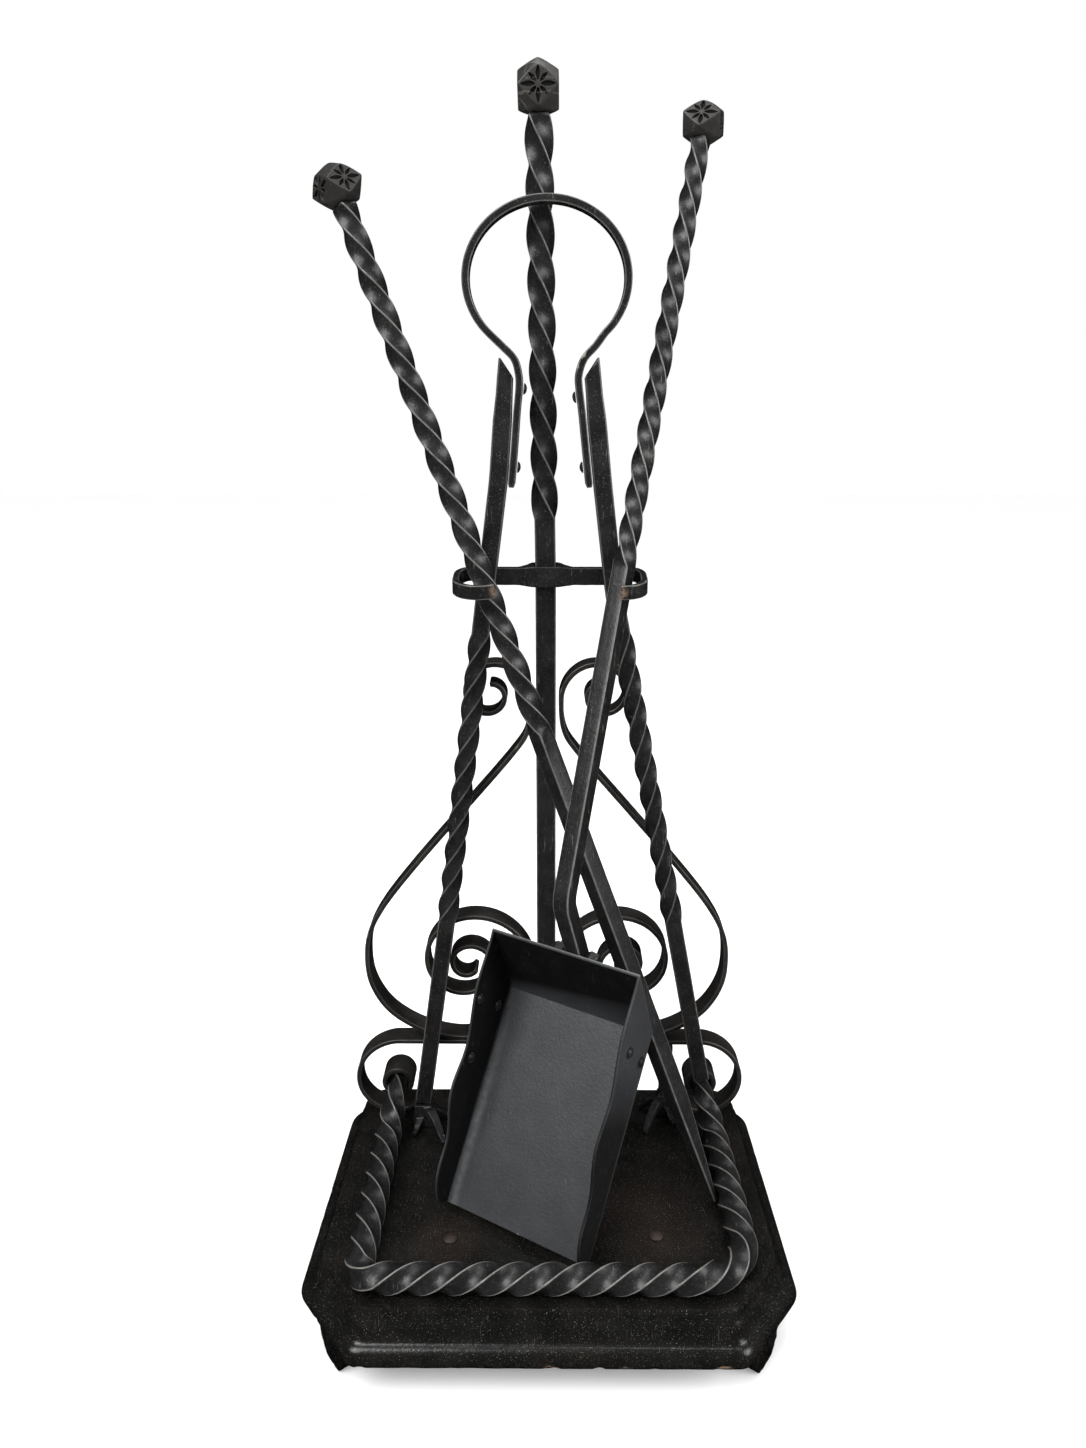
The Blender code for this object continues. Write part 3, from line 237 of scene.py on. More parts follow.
# points along each side of the sheet's section, outside then inside
PAN_STRETCHES = (10, 64, 10, 1, 10, 64, 10, 1)
PAN_FACE_REACH = 0.0006
PAN_OUTSIDE_DARK_END = 0.86  # the right wall's outside is darkened up to this share of its length
PAN_OUTSIDE_DARK_FADE = 0.28
PAN_OUTSIDE_DARK_STRENGTH = 0.9
# painted highlight: a light streak painted along the pan's left fold, carried by the ridge mask
PAN_FOLD_HIGHLIGHT = 0.95
PAN_FOLD_HIGHLIGHT_FADE = 1.6
PAN_FOLD_HIGHLIGHT_PLACE = 0.003  # how far from the wall the painted highlight streak runs
PAN_FOLD_HIGHLIGHT_WIDTH = 0.0028
PAN_BACK_THICKNESS = 1.15  # the back wall's slanted cut is this much longer than the sheet is thick
SHOVEL_AT_HOOK = (0.0412, 0.044, 0.437)
SHOVEL_ACROSS = 0.005
SHOVEL_KNEE_RISE = 0.039
SHOVEL_KNEE_RADIUS = 0.014
SHOVEL_STRAP_OVERLAP = 0.026
SHOVEL_TWIST_ABOVE_HOOK = 0.01
SHOVEL_TOP_LENGTH = 0.4628
SHOVEL_QUARTER_TURN = 0.0212

# camera and studio
CAMERA_PLACE = (0.0, -0.6098, 0.541)
CAMERA_TURN = (radians(73.4), 0.0, radians(0.37))
CAMERA_LENS = 27.0
STUDIO_FILL = 1.0
FLOOR_GLOW = 0.17
FLOOR_SIZE = 6.0
FLOOR_DROP = 0.0005
LIGHT_AIM = Vector((0.0, 0.0, 0.3))
# each softbox's name, place, size and power
LIGHTS = (("key_softbox", (-0.9, -1.0, 1.7), 1.0, 30.0), ("top_softbox", (0.1, 0.3, 1.9), 1.2, 14.0),
          ("right_softbox", (1.4, -0.7, 1.1), 0.9, 18.0))

# colours of rust, of soot and painted shade, and of bare metal
RUST_FRECKLE = (0.09, 0.048, 0.03)
RUST_STAIN = (0.06, 0.042, 0.033)
SOOT_AND_SHADE_BLACK = (0.0025, 0.0025, 0.0026)
BARE_METAL = (0.235, 0.15, 0.095)

# rough pieces: finest detail, smoothing passes, depth and scale of unevenness
RIVET_WEAR = (0.00022, 5, 0.00008, 700.0)
FOOT_WEAR = (0.0007, 5, 0.0006, 260.0)
CLAW_WEAR = (0.0004, 8, 0.00025, 260.0)
BAR_WEAR = (0.0005, 4, 0.0002, 260.0)

UP = Vector((0.0, 0.0, 1.0))
BACK = Vector((0.0, 1.0, 0.0))


def at(x, y, z):
    """A point given from the middle of the base."""
    return Vector((x, y + BASE_Y, z))


def clamped(value):
    return min(1.0, max(0.0, value))


def new_object(name, data):
    thing = bpy.data.objects.new(name, data)
    bpy.context.scene.collection.objects.link(thing)
    return thing


# -------- materials
class Nodes:
    """A material's node tree, with short calls for the nodes that every iron uses."""

    def __init__(self, name):
        self.material = bpy.data.materials.new(name)
        self.material.use_nodes = True
        self.tree = self.material.node_tree
        self.shader = self.tree.nodes["Principled BSDF"]
        self.place = self.new("TexCoord").outputs["Object"]

    def new(self, kind, **values):
        node = self.tree.nodes.new(f"ShaderNode{kind}")
        for socket, value in values.items():
            node.inputs[socket.replace("_", " ")].default_value = value
        return node

    def link(self, source, target):
        self.tree.links.new(source, target)

    def noise(self, scale, detail=4.0, stretch=None):
        node = self.new("TexNoise", Scale=scale, Detail=detail)
        source = self.place
        if stretch:
            mapping = self.new("Mapping", Scale=stretch, Rotation=(0.3, 0.5, 0.2))
            self.link(self.place, mapping.inputs["Vector"])
            source = mapping.outputs["Vector"]
        self.link(source, node.inputs["Vector"])
        return node.outputs["Fac"]

    def cells(self, scale):
        node = self.new("TexVoronoi")
        node.feature = "SMOOTH_F1"
        node.inputs["Scale"].default_value = scale
        self.link(self.place, node.inputs["Vector"])
        return node.outputs["Distance"]

    def band(self, source, low, high):
        """0 below low, 1 above high, smooth between."""
        node = self.new("MapRange", From_Min=low, From_Max=high)
        node.interpolation_type = "SMOOTHSTEP"
        self.link(source, node.inputs["Value"])
        return node.outputs["Result"]

    def scaled(self, source, low, high):
        node = self.new("MapRange", To_Min=low, To_Max=high)
        self.link(source, node.inputs["Value"])
        return node.outputs["Result"]

    def math(self, operation, first, second):
        node = self.new("Math")
        node.operation = operation
        for socket, value in zip(node.inputs, (first, second)):
            if isinstance(value, float):
                socket.default_value = value
            else:
                self.link(value, socket)
        return node.outputs["Value"]

    def times(self, first, second):
        return self.math("MULTIPLY", first, second)

    def mix(self, share, first, second):
        node = self.new("Mix")
        node.data_type = "RGBA"
        self.link(share, node.inputs["Factor"])
        for socket, value in ((node.inputs["A"], first), (node.inputs["B"], second)):
            if isinstance(value, tuple):
                socket.default_value = (*value, 1.0)
            else:
                self.link(value, socket)
        return node.outputs["Result"]

    def mask(self, name):
        """A mask painted on the mesh's points; 0 where the mesh has none."""
        node = self.new("Attribute")
        node.attribute_name = name
        return node.outputs["Fac"]

    def worn_edge(self, low, high):
        return self.band(self.new("NewGeometry").outputs["Pointiness"], low, high)

    def bump(self, heights):
        """Stack of bumps: (height, strength, depth in metres)."""
        normal = None
        for height, strength, depth in heights:
            node = self.new("Bump", Strength=strength, Distance=depth)
            self.link(height, node.inputs["Height"])
            if normal is not None:
                self.link(normal, node.inputs["Normal"])
            normal = node.outputs["Normal"]
        self.link(normal, self.shader.inputs["Normal"])


def iron(name, dark, light, worn_and_highlight, metallic, roughness, hammer, wear=0.55, rust=0.0, scratch=0.5,
         speckles=0.35):
    """Blackened iron: patchy colour, hammer marks, grain, scratches and edges rubbed bright, with
    painted shade and soot from one mask and a painted highlight that the ridge mask can carry.
    """
    nodes = Nodes(name)
    patches = nodes.band(nodes.noise(55.0, 6.0), 0.3, 0.8)
    colour = nodes.mix(patches, dark, light)
    speckle = nodes.band(nodes.noise(1500.0, 3.0), 0.62, 0.74)
    colour = nodes.mix(nodes.times(speckle, speckles), colour, worn_and_highlight)
    if rust > 0.0:
        rusty = nodes.band(nodes.noise(26.0, 8.0), 0.5, 0.7)
        freckles = nodes.band(nodes.noise(420.0, 6.0), 0.46, 0.66)
        colour = nodes.mix(nodes.times(nodes.times(rusty, freckles), rust), colour, RUST_FRECKLE)
    stain = nodes.times(nodes.mask("rusted"), nodes.scaled(nodes.noise(300.0), 0.2, 0.9))
    colour = nodes.mix(stain, colour, RUST_STAIN)
    # painted shade and soot: this mask darkens the pan's inner walls and the finials' carved hollows
    # toward black
    soot_and_painted_shade = nodes.times(nodes.mask("painted_shade_and_soot"), nodes.scaled(nodes.noise(110.0, 5.0), 0.88, 1.12))
    colour = nodes.mix(soot_and_painted_shade, colour, SOOT_AND_SHADE_BLACK)
    lines = nodes.band(nodes.noise(1.0, 3.0, (2600.0, 130.0, 90.0)), 0.66, 0.72)
    patchy_lines = nodes.times(lines, nodes.band(nodes.noise(90.0), 0.48, 0.62))
    colour = nodes.mix(nodes.times(patchy_lines, scratch), colour, worn_and_highlight)
    # the ridge mask holds real wear along the bars' ridges and a painted highlight along the shovel
    # pan's fold; both lighten the colour here
    edge = nodes.math("MAXIMUM", nodes.worn_edge(0.53, 0.62), nodes.mask("ridge"))
    rubbed_and_highlight = nodes.times(edge, nodes.scaled(nodes.noise(240.0, 5.0), 0.15, 1.1))
    colour = nodes.mix(nodes.times(rubbed_and_highlight, wear), colour, worn_and_highlight)
    bare = nodes.times(nodes.mask("bare"), nodes.band(nodes.noise(380.0, 5.0), 0.3, 0.55))
    colour = nodes.mix(bare, colour, BARE_METAL)
    nodes.link(colour, nodes.shader.inputs["Base Color"])
    rough = nodes.scaled(nodes.noise(130.0, 6.0), roughness - 0.06, roughness + 0.09)
    rough = nodes.math("SUBTRACT", rough, nodes.times(rubbed_and_highlight, 0.1))
    rough = nodes.math("ADD", rough, nodes.times(soot_and_painted_shade, 0.35))
    nodes.link(rough, nodes.shader.inputs["Roughness"])
    nodes.shader.inputs["Metallic"].default_value = metallic
    nodes.bump([(nodes.cells(150.0), 0.16 * hammer, 0.0008), (nodes.noise(520.0, 6.0), 0.4, 0.00035),
                (nodes.noise(2600.0, 3.0), 0.22, 0.00012), (patchy_lines, 0.25, 0.0001)])
    return nodes.material


MATERIALS = {
    "wrought_iron": iron("blackened_wrought_iron", (0.0085, 0.0085, 0.0092), (0.019, 0.019, 0.02),
                         (0.36, 0.34, 0.31), 0.25, 0.33, 0.5, wear=0.95),
    "band_iron": iron("brown_black_band_iron", (0.012, 0.0112, 0.0105), (0.029, 0.0265, 0.024),
                      (0.24, 0.225, 0.205), 0.25, 0.4, 0.8, wear=0.65, rust=0.1),
    "cast_base": iron("worn_cast_base", (0.0046, 0.0046, 0.0043), (0.0098, 0.0096, 0.0086),
                      (0.2, 0.185, 0.165), 0.15, 0.21, 0.4, wear=0.4, rust=0.1, scratch=0.3,
                      speckles=0.55),
    "sheet_iron": iron("blued_sheet_iron", (0.046, 0.048, 0.052), (0.056, 0.058, 0.062),
                       (0.3, 0.31, 0.32), 0.35, 0.4, 0.1, wear=0.75, scratch=0.22, speckles=0.15),
    "carved_finial": iron("carved_finial_iron", (0.023, 0.022, 0.0205), (0.04, 0.0375, 0.0345),
                          (0.22, 0.2, 0.18), 0.25, 0.42, 0.2, wear=0.38, speckles=0.03,
                          scratch=0.25),
    "rusty_bolt": iron("rusted_bolt_iron", (0.022, 0.015, 0.012), (0.046, 0.03, 0.024),
                       (0.12, 0.085, 0.07), 0.2, 0.5, 0.6, wear=0.3, rust=0.15, speckles=0.15),
}
SLOT_OF = {entry["node"]: entry["material_slot"] for entry in frame["record"]["subparts"]}
BODY_OF = {node: body for body, nodes in frame["record"]["behaviour"]["bodies"].items()
           for node in nodes}


# -------- placing pieces
def make_piece(node, shape, smooth_angle=50.0, bevel=None):
    """One finished piece of the set, with its own iron and the body that it moves with."""
    bmesh.ops.recalc_face_normals(shape, faces=shape.faces)
    mesh = bpy.data.meshes.new(f"forged_{node}")
    shape.to_mesh(mesh)
    shape.free()
    mesh.materials.append(MATERIALS[SLOT_OF[node]])
    mesh.shade_smooth()
    mesh.set_sharp_from_angle(angle=radians(smooth_angle))
    piece = new_object(f"forged_{node}", mesh)
    if bevel:
        soften = piece.modifiers.new("Worn edges", "BEVEL")
        soften.width = bevel
        soften.segments = 2
        soften.limit_method = "ANGLE"
        soften.angle_limit = radians(45)
    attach(piece, BODY_OF[node])
    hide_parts(node)
    return piece


def paint(shape, name, amount_at):
    """Store a mask on the points of a mesh that is still being made."""
    layer = shape.verts.layers.float.get(name) or shape.verts.layers.float.new(name)
    for vertex in shape.verts:
        vertex[layer] = amount_at(vertex.co)


def reworked(node, voxel, passes, depth, scale):
    """A plain piece with its edges worn round and its faces slightly uneven, always inward."""
    source = frame["nodes"][node]
    mesh = source.data.copy()
    helper = new_object(f"helper_{node}", mesh)
    helper.matrix_world = source.matrix_world
    remesh = helper.modifiers.new("Remesh", "REMESH")
    remesh.mode = "VOXEL"
    remesh.voxel_size = voxel
    smooth = helper.modifiers.new("Smooth", "SMOOTH")
    smooth.iterations = passes
    smooth.factor = 0.5
    bpy.context.view_layer.update()
    finished = helper.evaluated_get(bpy.context.evaluated_depsgraph_get())
    made = bpy.data.meshes.new_from_object(finished)
    shape = bmesh.new()
    shape.from_mesh(made)
    shape.transform(source.matrix_world)
    bpy.data.objects.remove(helper, do_unlink=True)
    bpy.data.meshes.remove(made)
    shape.normal_update()
    for vertex in shape.verts:
        unevenness = 0.5 + 0.5 * noise.noise(vertex.co * scale)
        vertex.co -= vertex.normal * depth * unevenness
    return shape


# -------- shape helpers
def join_rings(shape, lower, upper):
    for index in range(len(lower)):
        after = (index + 1) % len(lower)
        shape.faces.new((lower[index], lower[after], upper[after], upper[index]))


def loft(rings, closed=False):
    shape = bmesh.new()
    rows = [[shape.verts.new(point) for point in ring] for ring in rings]
    for lower, upper in zip(rows, rows[1:]):
        join_rings(shape, lower, upper)
    if closed:
        join_rings(shape, rows[-1], rows[0])
    else:
        shape.faces.new(list(reversed(rows[0])))
        shape.faces.new(rows[-1])
    return shape


def tangents_of(points):
    result = []
    for index in range(len(points)):
        before = points[max(index - 1, 0)]
        after = points[min(index + 1, len(points) - 1)]
        result.append((after - before).normalized())
    return result


def lengths_along(points):
    total = [0.0]
    for first, second in zip(points, points[1:]):
        total.append(total[-1] + (second - first).length)
    return total


def spaced(start, end, step=STEP):
    count = max(1, round((end - start).length / step))
    return [start.lerp(end, index / count) for index in range(count + 1)]


def rounded_path(corners, radii, step=STEP):
    """A path through corners, each rounded by an arc of its radius."""
    path = [corners[0]]
    for before, corner, after, radius in zip(corners, corners[1:], corners[2:], radii):
        toward_before = (before - corner).normalized()
        toward_after = (after - corner).normalized()
        half = toward_before.angle(toward_after) / 2
        trim = radius / tan(half)
        arc_start = corner + toward_before * trim
        arc_end = corner + toward_after * trim
        centre = corner + (toward_before + toward_after).normalized() * (radius / sin(half))
        path += spaced(path[-1], arc_start, step)[1:]
        sweep_angle = pi - 2 * half
        count = max(2, round(radius * sweep_angle / step))
        from_centre = arc_start - centre
        axis = from_centre.cross(arc_end - centre).normalized()
        for index in range(1, count + 1):
            path.append(centre + Matrix.Rotation(sweep_angle * index / count, 3, axis) @ from_centre)
    path += spaced(path[-1], corners[-1], step)[1:]
    return path


def smooth_curve(points, steps):
    """A Catmull-Rom curve through 2-D points."""
    padded = [points[0]] + list(points) + [points[-1]]
    result = []
    for a, b, c, d in zip(padded, padded[1:], padded[2:], padded[3:]):
        for index in range(steps):
            t = index / steps
            result.append(tuple(0.5 * (2 * b[i] + (c[i] - a[i]) * t
                                       + (2 * a[i] - 5 * b[i] + 4 * c[i] - d[i]) * t * t
                                       + (3 * b[i] - a[i] - 3 * c[i] + d[i]) * t * t * t)
                                for i in (0, 1)))
    result.append(tuple(points[-1]))
    return result


def spiral(centre, start_radius, decay, quarters, start_angle, direction):
    points = []
    count = round(quarters * SPIRAL_STEPS)
    for index in range(count + 1):
        quarter = quarters * index / count
        radius = start_radius * exp(-decay * quarter)
        angle = start_angle + direction * radians(90) * quarter
        points.append((centre[0] + radius * cos(angle), centre[1] + radius * sin(angle)))
    return points


def rounded_section(half_a, half_b, rounding, arc_steps=4, side_steps=3):
    """Points round a rectangle whose corners are arcs; each comes with how near it is to a ridge."""
    section = []
    for corner in range(4):
        sign_a = (1, -1, -1, 1)[corner]
        sign_b = (1, 1, -1, -1)[corner]
        for index in range(arc_steps + 1):
            angle = pi / 2 * (corner + index / arc_steps)
            ridge = sin(pi * index / arc_steps)
            section.append((sign_a * (half_a - rounding) + rounding * cos(angle),
                            sign_b * (half_b - rounding) + rounding * sin(angle), ridge))
        a, b, _ = section[-1]
        for index in range(1, side_steps):
            share = index / side_steps
            if corner % 2:
                end_b = -sign_b * (half_b - rounding)
                section.append((a, b + (end_b - b) * share, 0.0))
            else:
                end_a = -sign_a * (half_a - rounding)
                section.append((a + (end_a - a) * share, b, 0.0))
    return section


def sweep(points, reference, sizes, turns=None, rounding=EDGE_ROUNDING, ridge=0.0):
    """A rounded section carried along a path; sizes are (thickness, width) at each point."""
    turns = turns or [0.0] * len(points)
    lengths = lengths_along(points)
    tangents = tangents_of(points)
    rings = []
    ridges = []
    for point, tangent, (size_a, size_b), turn, length in zip(points, tangents, sizes, turns, lengths):
        across = tangent.cross(reference).normalized()
        toward = across.cross(tangent).normalized()
        from_end = min(length, lengths[-1] - length)
        shrink = 0.0
        if from_end < rounding:
            shrink = rounding - sqrt(rounding ** 2 - (rounding - from_end) ** 2)
        radius = min(rounding, 0.42 * min(size_a, size_b))
        corner = 0.98 * radius - 0.7 * shrink if radius > shrink else radius * 0.25
        section = rounded_section(size_a / 2 - 0.8 * shrink, size_b / 2 - 0.8 * shrink, corner)
        ring = []
        for a, b, near_ridge in section:
            offset_a = a * cos(turn) - b * sin(turn)
            offset_b = a * sin(turn) + b * cos(turn)
            offset = across * offset_a + toward * offset_b
            place = point + offset
            dent = HAMMER_DEPTH * (0.5 + 0.5 * noise.noise(place * HAMMER_SCALE))
            ring.append(place - offset.normalized() * dent)
            ridges.append(ridge * near_ridge)
        rings.append(ring)
    shape = loft(rings)
    layer = shape.verts.layers.float.new("ridge")
    for vertex, amount in zip(shape.verts, ridges):
        vertex[layer] = amount
    return shape


def square(sides):
    return [(side, side) for side in sides]


def twist_turns(lengths, start, end, quarter, sign):
    quarters = max(1, round((end - start) / quarter))
    total = sign * quarters * pi / 2
    return [total * clamped((length - start) / (end - start)) for length in lengths]


def twist_sides(lengths, start, end, side):
    sides = []
    for length in lengths:
        share = clamped(min(length - start, end - length) / side)
        sides.append(side * (1.0 + (TWIST_THINNING - 1.0) * share))
    return sides


# -------- base
def base_outline(inset):
    """The base's outline drawn in by an inset, its eight corners slightly rounded."""
    front_run, front_rise = BASE_FRONT_CHAMFER
    rear_run, rear_rise = BASE_REAR_CHAMFER
    right = [(BASE_HALF_WIDTH - front_run, -BASE_FRONT), (BASE_HALF_WIDTH, -BASE_FRONT + front_rise),
             (BASE_REAR_HALF_WIDTH, BASE_REAR - rear_rise),
             (BASE_REAR_HALF_WIDTH - rear_run, BASE_REAR)]
    corners = [Vector(corner) for corner in right + [(-x, y) for x, y in reversed(right)]]
    drawn_in = []
    for index, here in enumerate(corners):
        into = (here - corners[index - 1]).normalized()
        out = (corners[(index + 1) % 8] - here).normalized()
        normal_in = Vector((-into.y, into.x))
        bisector = (normal_in + Vector((-out.y, out.x))).normalized()
        drawn_in.append(here + bisector * (inset / bisector.dot(normal_in)))
    outline = []
    for index, here in enumerate(drawn_in):
        before = drawn_in[index - 1]
        after = drawn_in[(index + 1) % 8]
        start = here + (before - here).normalized() * BASE_CORNER_CUT
        end = here + (after - here).normalized() * BASE_CORNER_CUT
        for step in range(BASE_CORNER_STEPS + 1):
            t = step / BASE_CORNER_STEPS
            outline.append(start * (1 - t) ** 2 + here * (2 * t * (1 - t)) + end * t ** 2)
        side_end = after + (here - after).normalized() * BASE_CORNER_CUT
        for step in range(1, BASE_SIDE_STEPS):
            outline.append(end.lerp(side_end, step / BASE_SIDE_STEPS))
    return outline


def chip(point):
    """Depth of the small chips and dents in the casting, deepest along its lower edge."""
    low = max(0.0, 1.0 - abs(point.z - BASE_UNDERSIDE - CHIP_BAND_RISE) / CHIP_BAND_REACH)
    bite = max(0.0, noise.noise(point * CHIP_SCALE + CHIP_OFFSET) - 0.28)
    dent = max(0.0, noise.noise(point * DENT_SCALE) - 0.3)
    return CHIP_DEPTH * min(1.0, 2.6 * bite * low + 0.5 * dent)


def make_base():
    nose_z = BASE_UNDERSIDE + BASE_NOSE_RISE
    profile = [(BASE_UNDERSIDE_INSET, BASE_UNDERSIDE)]
    for step in range(BASE_NOSE_STEPS + 1):
        angle = radians(-BASE_NOSE_SWEEP / 2 + BASE_NOSE_SWEEP * step / BASE_NOSE_STEPS)
        profile.append((BASE_NOSE_RADIUS * (1 - cos(angle)) + BASE_NOSE_SET_BACK,
                        nose_z + BASE_NOSE_RADIUS * sin(angle)))
    cove = smooth_curve([profile[-1]] + [(inset, BASE_TOP - depth) for inset, depth in BASE_COVE], 3)
    profile += cove[1:]
    rings = []
    for inset, z in profile:
        rings.append([at(point.x, point.y, z) for point in base_outline(inset)])
    inner = BASE_COVE[-1][0]
    edge = [at(point.x, point.y, BASE_TOP) for point in base_outline(inner + 0.001)]
    middle = at(0.0, 0.0, BASE_TOP)
    for step in range(BASE_TOP_RINGS):
        rings.append([point.lerp(middle, step / BASE_TOP_RINGS) for point in edge])
    shape = loft(rings)
    shape.normal_update()
    for vertex in shape.verts:
        if vertex.co.z > BASE_UNDERSIDE + 1e-5:
            depth = chip(vertex.co) + CAST_UNEVENNESS * (0.5 + 0.5 * noise.noise(vertex.co * 90.0))
            vertex.co -= vertex.normal * depth

    def rusted(point):
        """Rust tint round the bolts and behind the shovel's lip."""
        if point.z < BASE_TOP - 0.004:
            return 0.0
        amount = 0.0
        for x, y, reach in RUST_SPOTS:
            spot = at(x, y, BASE_TOP)
            amount = max(amount, 1.0 - (point - spot).length / reach)
        return RUST_SPOT_STRENGTH * amount

    paint(shape, "rusted", rusted)
    paint(shape, "bare", lambda point: 0.8 if chip(point) > 0.55 * CHIP_DEPTH else 0.0)
    make_piece("base", shape)


# -------- rail, legs, post
def make_rail():
    flat_z = BASE_TOP + RAIL_BAR / sqrt(2.0) + CLEARANCE
    corners = [at(-SOCKET_X, RAIL_REAR_Y, SOCKET_Z), at(-SOCKET_X, RAIL_KICK_TOP_Y, SOCKET_Z),
               at(RAIL_LEFT_X, RAIL_KICK_FOOT_Y, flat_z), at(RAIL_LEFT_X, RAIL_FRONT_Y, flat_z),
               at(RAIL_RIGHT_FRONT_X, RAIL_FRONT_Y, flat_z),
               at(RAIL_RIGHT_REAR_X, RAIL_KICK_FOOT_Y, flat_z),
               at(SOCKET_X, RAIL_KICK_TOP_Y, SOCKET_Z), at(SOCKET_X, RAIL_REAR_Y, SOCKET_Z)]
    kick = RAIL_KICK_RADIUS
    points = rounded_path(corners, (kick, kick, RAIL_LEFT_RADIUS, RAIL_RIGHT_RADIUS, kick, kick))
    lengths = lengths_along(points)
    turns = [length / RAIL_QUARTER_TURN * pi / 2 for length in lengths]
    sides = []
    for length in lengths:
        from_end = min(length, lengths[-1] - length)
        share = clamped((from_end - SOCKET_DEPTH / 2) / RAIL_END_TAPER)
        sides.append(RAIL_END_BAR + (RAIL_BAR - RAIL_END_BAR) * share)
    make_piece("fender_rail", sweep(points, UP, square(sides), turns, ridge=0.8))


def make_leg(node, line, side):
    points = rounded_path([at(x, LEG_Y, z) for x, z in line], [LEG_BEND_RADIUS] * (len(line) - 2))
    lengths = lengths_along(points)
    start = next(length for point, length in zip(points, lengths) if point.z < LEG_TWIST_TOP)
    end = next(length for point, length in zip(points, lengths) if point.z < LEG_TWIST_BOTTOM)
    turns = twist_turns(lengths, start, end, LEG_QUARTER_TURN, -1)
    sides = []
    for length, twisted in zip(lengths, twist_sides(lengths, start, end, LEG_BAR)):
        sides.append(twisted + (LEG_TOP_BAR - LEG_BAR) * (1 - min(1.0, length / LEG_TOP_TAPER)))
    shape = sweep(points, BACK, square(sides), turns, ridge=0.4)
    top = points[0]
    for vertex in shape.verts:
        falloff = clamped(1 - (top.z - vertex.co.z) / LEG_TOP_SLANT_REACH)
        vertex.co.z += side * LEG_TOP_SLANT * (vertex.co.x - top.x) * falloff
    make_piece(node, shape)


def post_x(z):
    lower = min(z, CROSSBAR_Z)
    return POST_FOOT_X + POST_LOWER_LEAN * lower + POST_UPPER_LEAN * (z - lower)


def post_at(z):
    return at(post_x(z), POST_Y, z)


def make_post():
    points = spaced(post_at(BASE_TOP + CLEARANCE), post_at(CROSSBAR_Z))
    points += spaced(post_at(CROSSBAR_Z), post_at(POST_TOP))[1:]
    lengths = lengths_along(points)
    start = next(length for point, length in zip(points, lengths) if point.z > POST_TWIST_BOTTOM)
    turns = twist_turns(lengths, start, lengths[-1], POST_QUARTER_TURN, 1)
    sides = []
    for length in lengths:
        share = clamped((length - start) / POST_BAR)
        sides.append(POST_BAR * (1.0 + (TWIST_THINNING - 1.0) * share))
    make_piece("centre_post", sweep(points, BACK, square(sides), turns, ridge=0.5))


# -------- hooks and loop
def hook_path(centre_x, ring_radius, end_angle, side):
    root_x = side * (CROSSBAR_HALF_LENGTH + CLEARANCE)
    root_y = LEG_Y + LEG_BAR / 2 + CLEARANCE + CROSSBAR_THICKNESS / 2
    outer_x = centre_x + side * ring_radius
    path = [(root_x, root_y)]
    root_x += side * HOOK_ROOT_SHIFT
    for share in (0.0, 0.2, 0.4, 0.6, 0.8):
        angle = share * pi / 2
        path.append((root_x + (outer_x - root_x) * sin(angle),
                     root_y - (root_y - HOOK_Y - HOOK_SHOULDER_END) * (1 - cos(angle))))
    path.append((outer_x, HOOK_Y + HOOK_RING_START))
    count = round(degrees(end_angle - pi) / 15)
    for index in range(count + 1):
        angle = pi + (end_angle - pi) * index / count
        path.append((centre_x - side * ring_radius * cos(angle),
                     HOOK_Y + ring_radius * sin(angle)))
    return path


def make_hook(node, settings, side):
    points = []
    for x, y in smooth_curve(hook_path(*settings, side), 5):
        drop = tan(HOOK_DROOP) * min(0.0, y - HOOK_Y - HOOK_DROOP_START)
        point = at(x, y, HOOK_Z + drop)
        if not points or (point - points[-1]).length > 0.00012:
            points.append(point)
    sizes = [(HOOK_WALL, HOOK_HEIGHT)] * len(points)
    shape = sweep(points, UP, sizes, rounding=STRIP_ROUNDING, ridge=0.5)
    tip = points[-1]
    paint(shape, "bare", lambda point: max(0.0, 1.0 - ((point - tip).length / HOOK_TIP_WEAR) ** 2))
    make_piece(node, shape)


def make_strip(node, points, thickness, width):
    """A flat strip bent along a path, its width running back."""
    sizes = [(thickness, width)] * len(points)
    make_piece(node, sweep(points, BACK, sizes, rounding=STRIP_ROUNDING, ridge=0.5))


def leg_x_at(line, z):
    for (x_high, z_high), (x_low, z_low) in zip(line, line[1:]):
        if z >= z_low:
            return x_low + (x_high - x_low) * (z - z_low) / (z_high - z_low)
    return line[-1][0]


def strap_line(line, neck, side):
    inward = LEG_BAR / 2 + STRAP_GAP + LOOP_THICKNESS / 2
    straight = [(leg_x_at(line, z) - side * inward, z) for z in STRAP_HEIGHTS]
    return straight + list(neck)


def make_loop():
    cx, cz = LOOP_CENTRE
    arc = []
    for index in range(LOOP_STEPS + 1):
        angle = -pi / 2 - LOOP_OPENING - index / LOOP_STEPS * (2 * pi - 2 * LOOP_OPENING)
        arc.append((cx + LOOP_RADIUS * cos(angle),
                    cz + LOOP_RADIUS * LOOP_SQUASH * sin(angle)))
    left = strap_line(LEFT_LEG_LINE, LEFT_NECK, -1)
    right = strap_line(RIGHT_LEG_LINE, RIGHT_NECK, 1)
    points = [at(x, LEG_Y, z) for x, z in smooth_curve(left + arc + right[::-1], 7)]
    make_strip("omega_loop", points, LOOP_THICKNESS, LOOP_WIDTH)


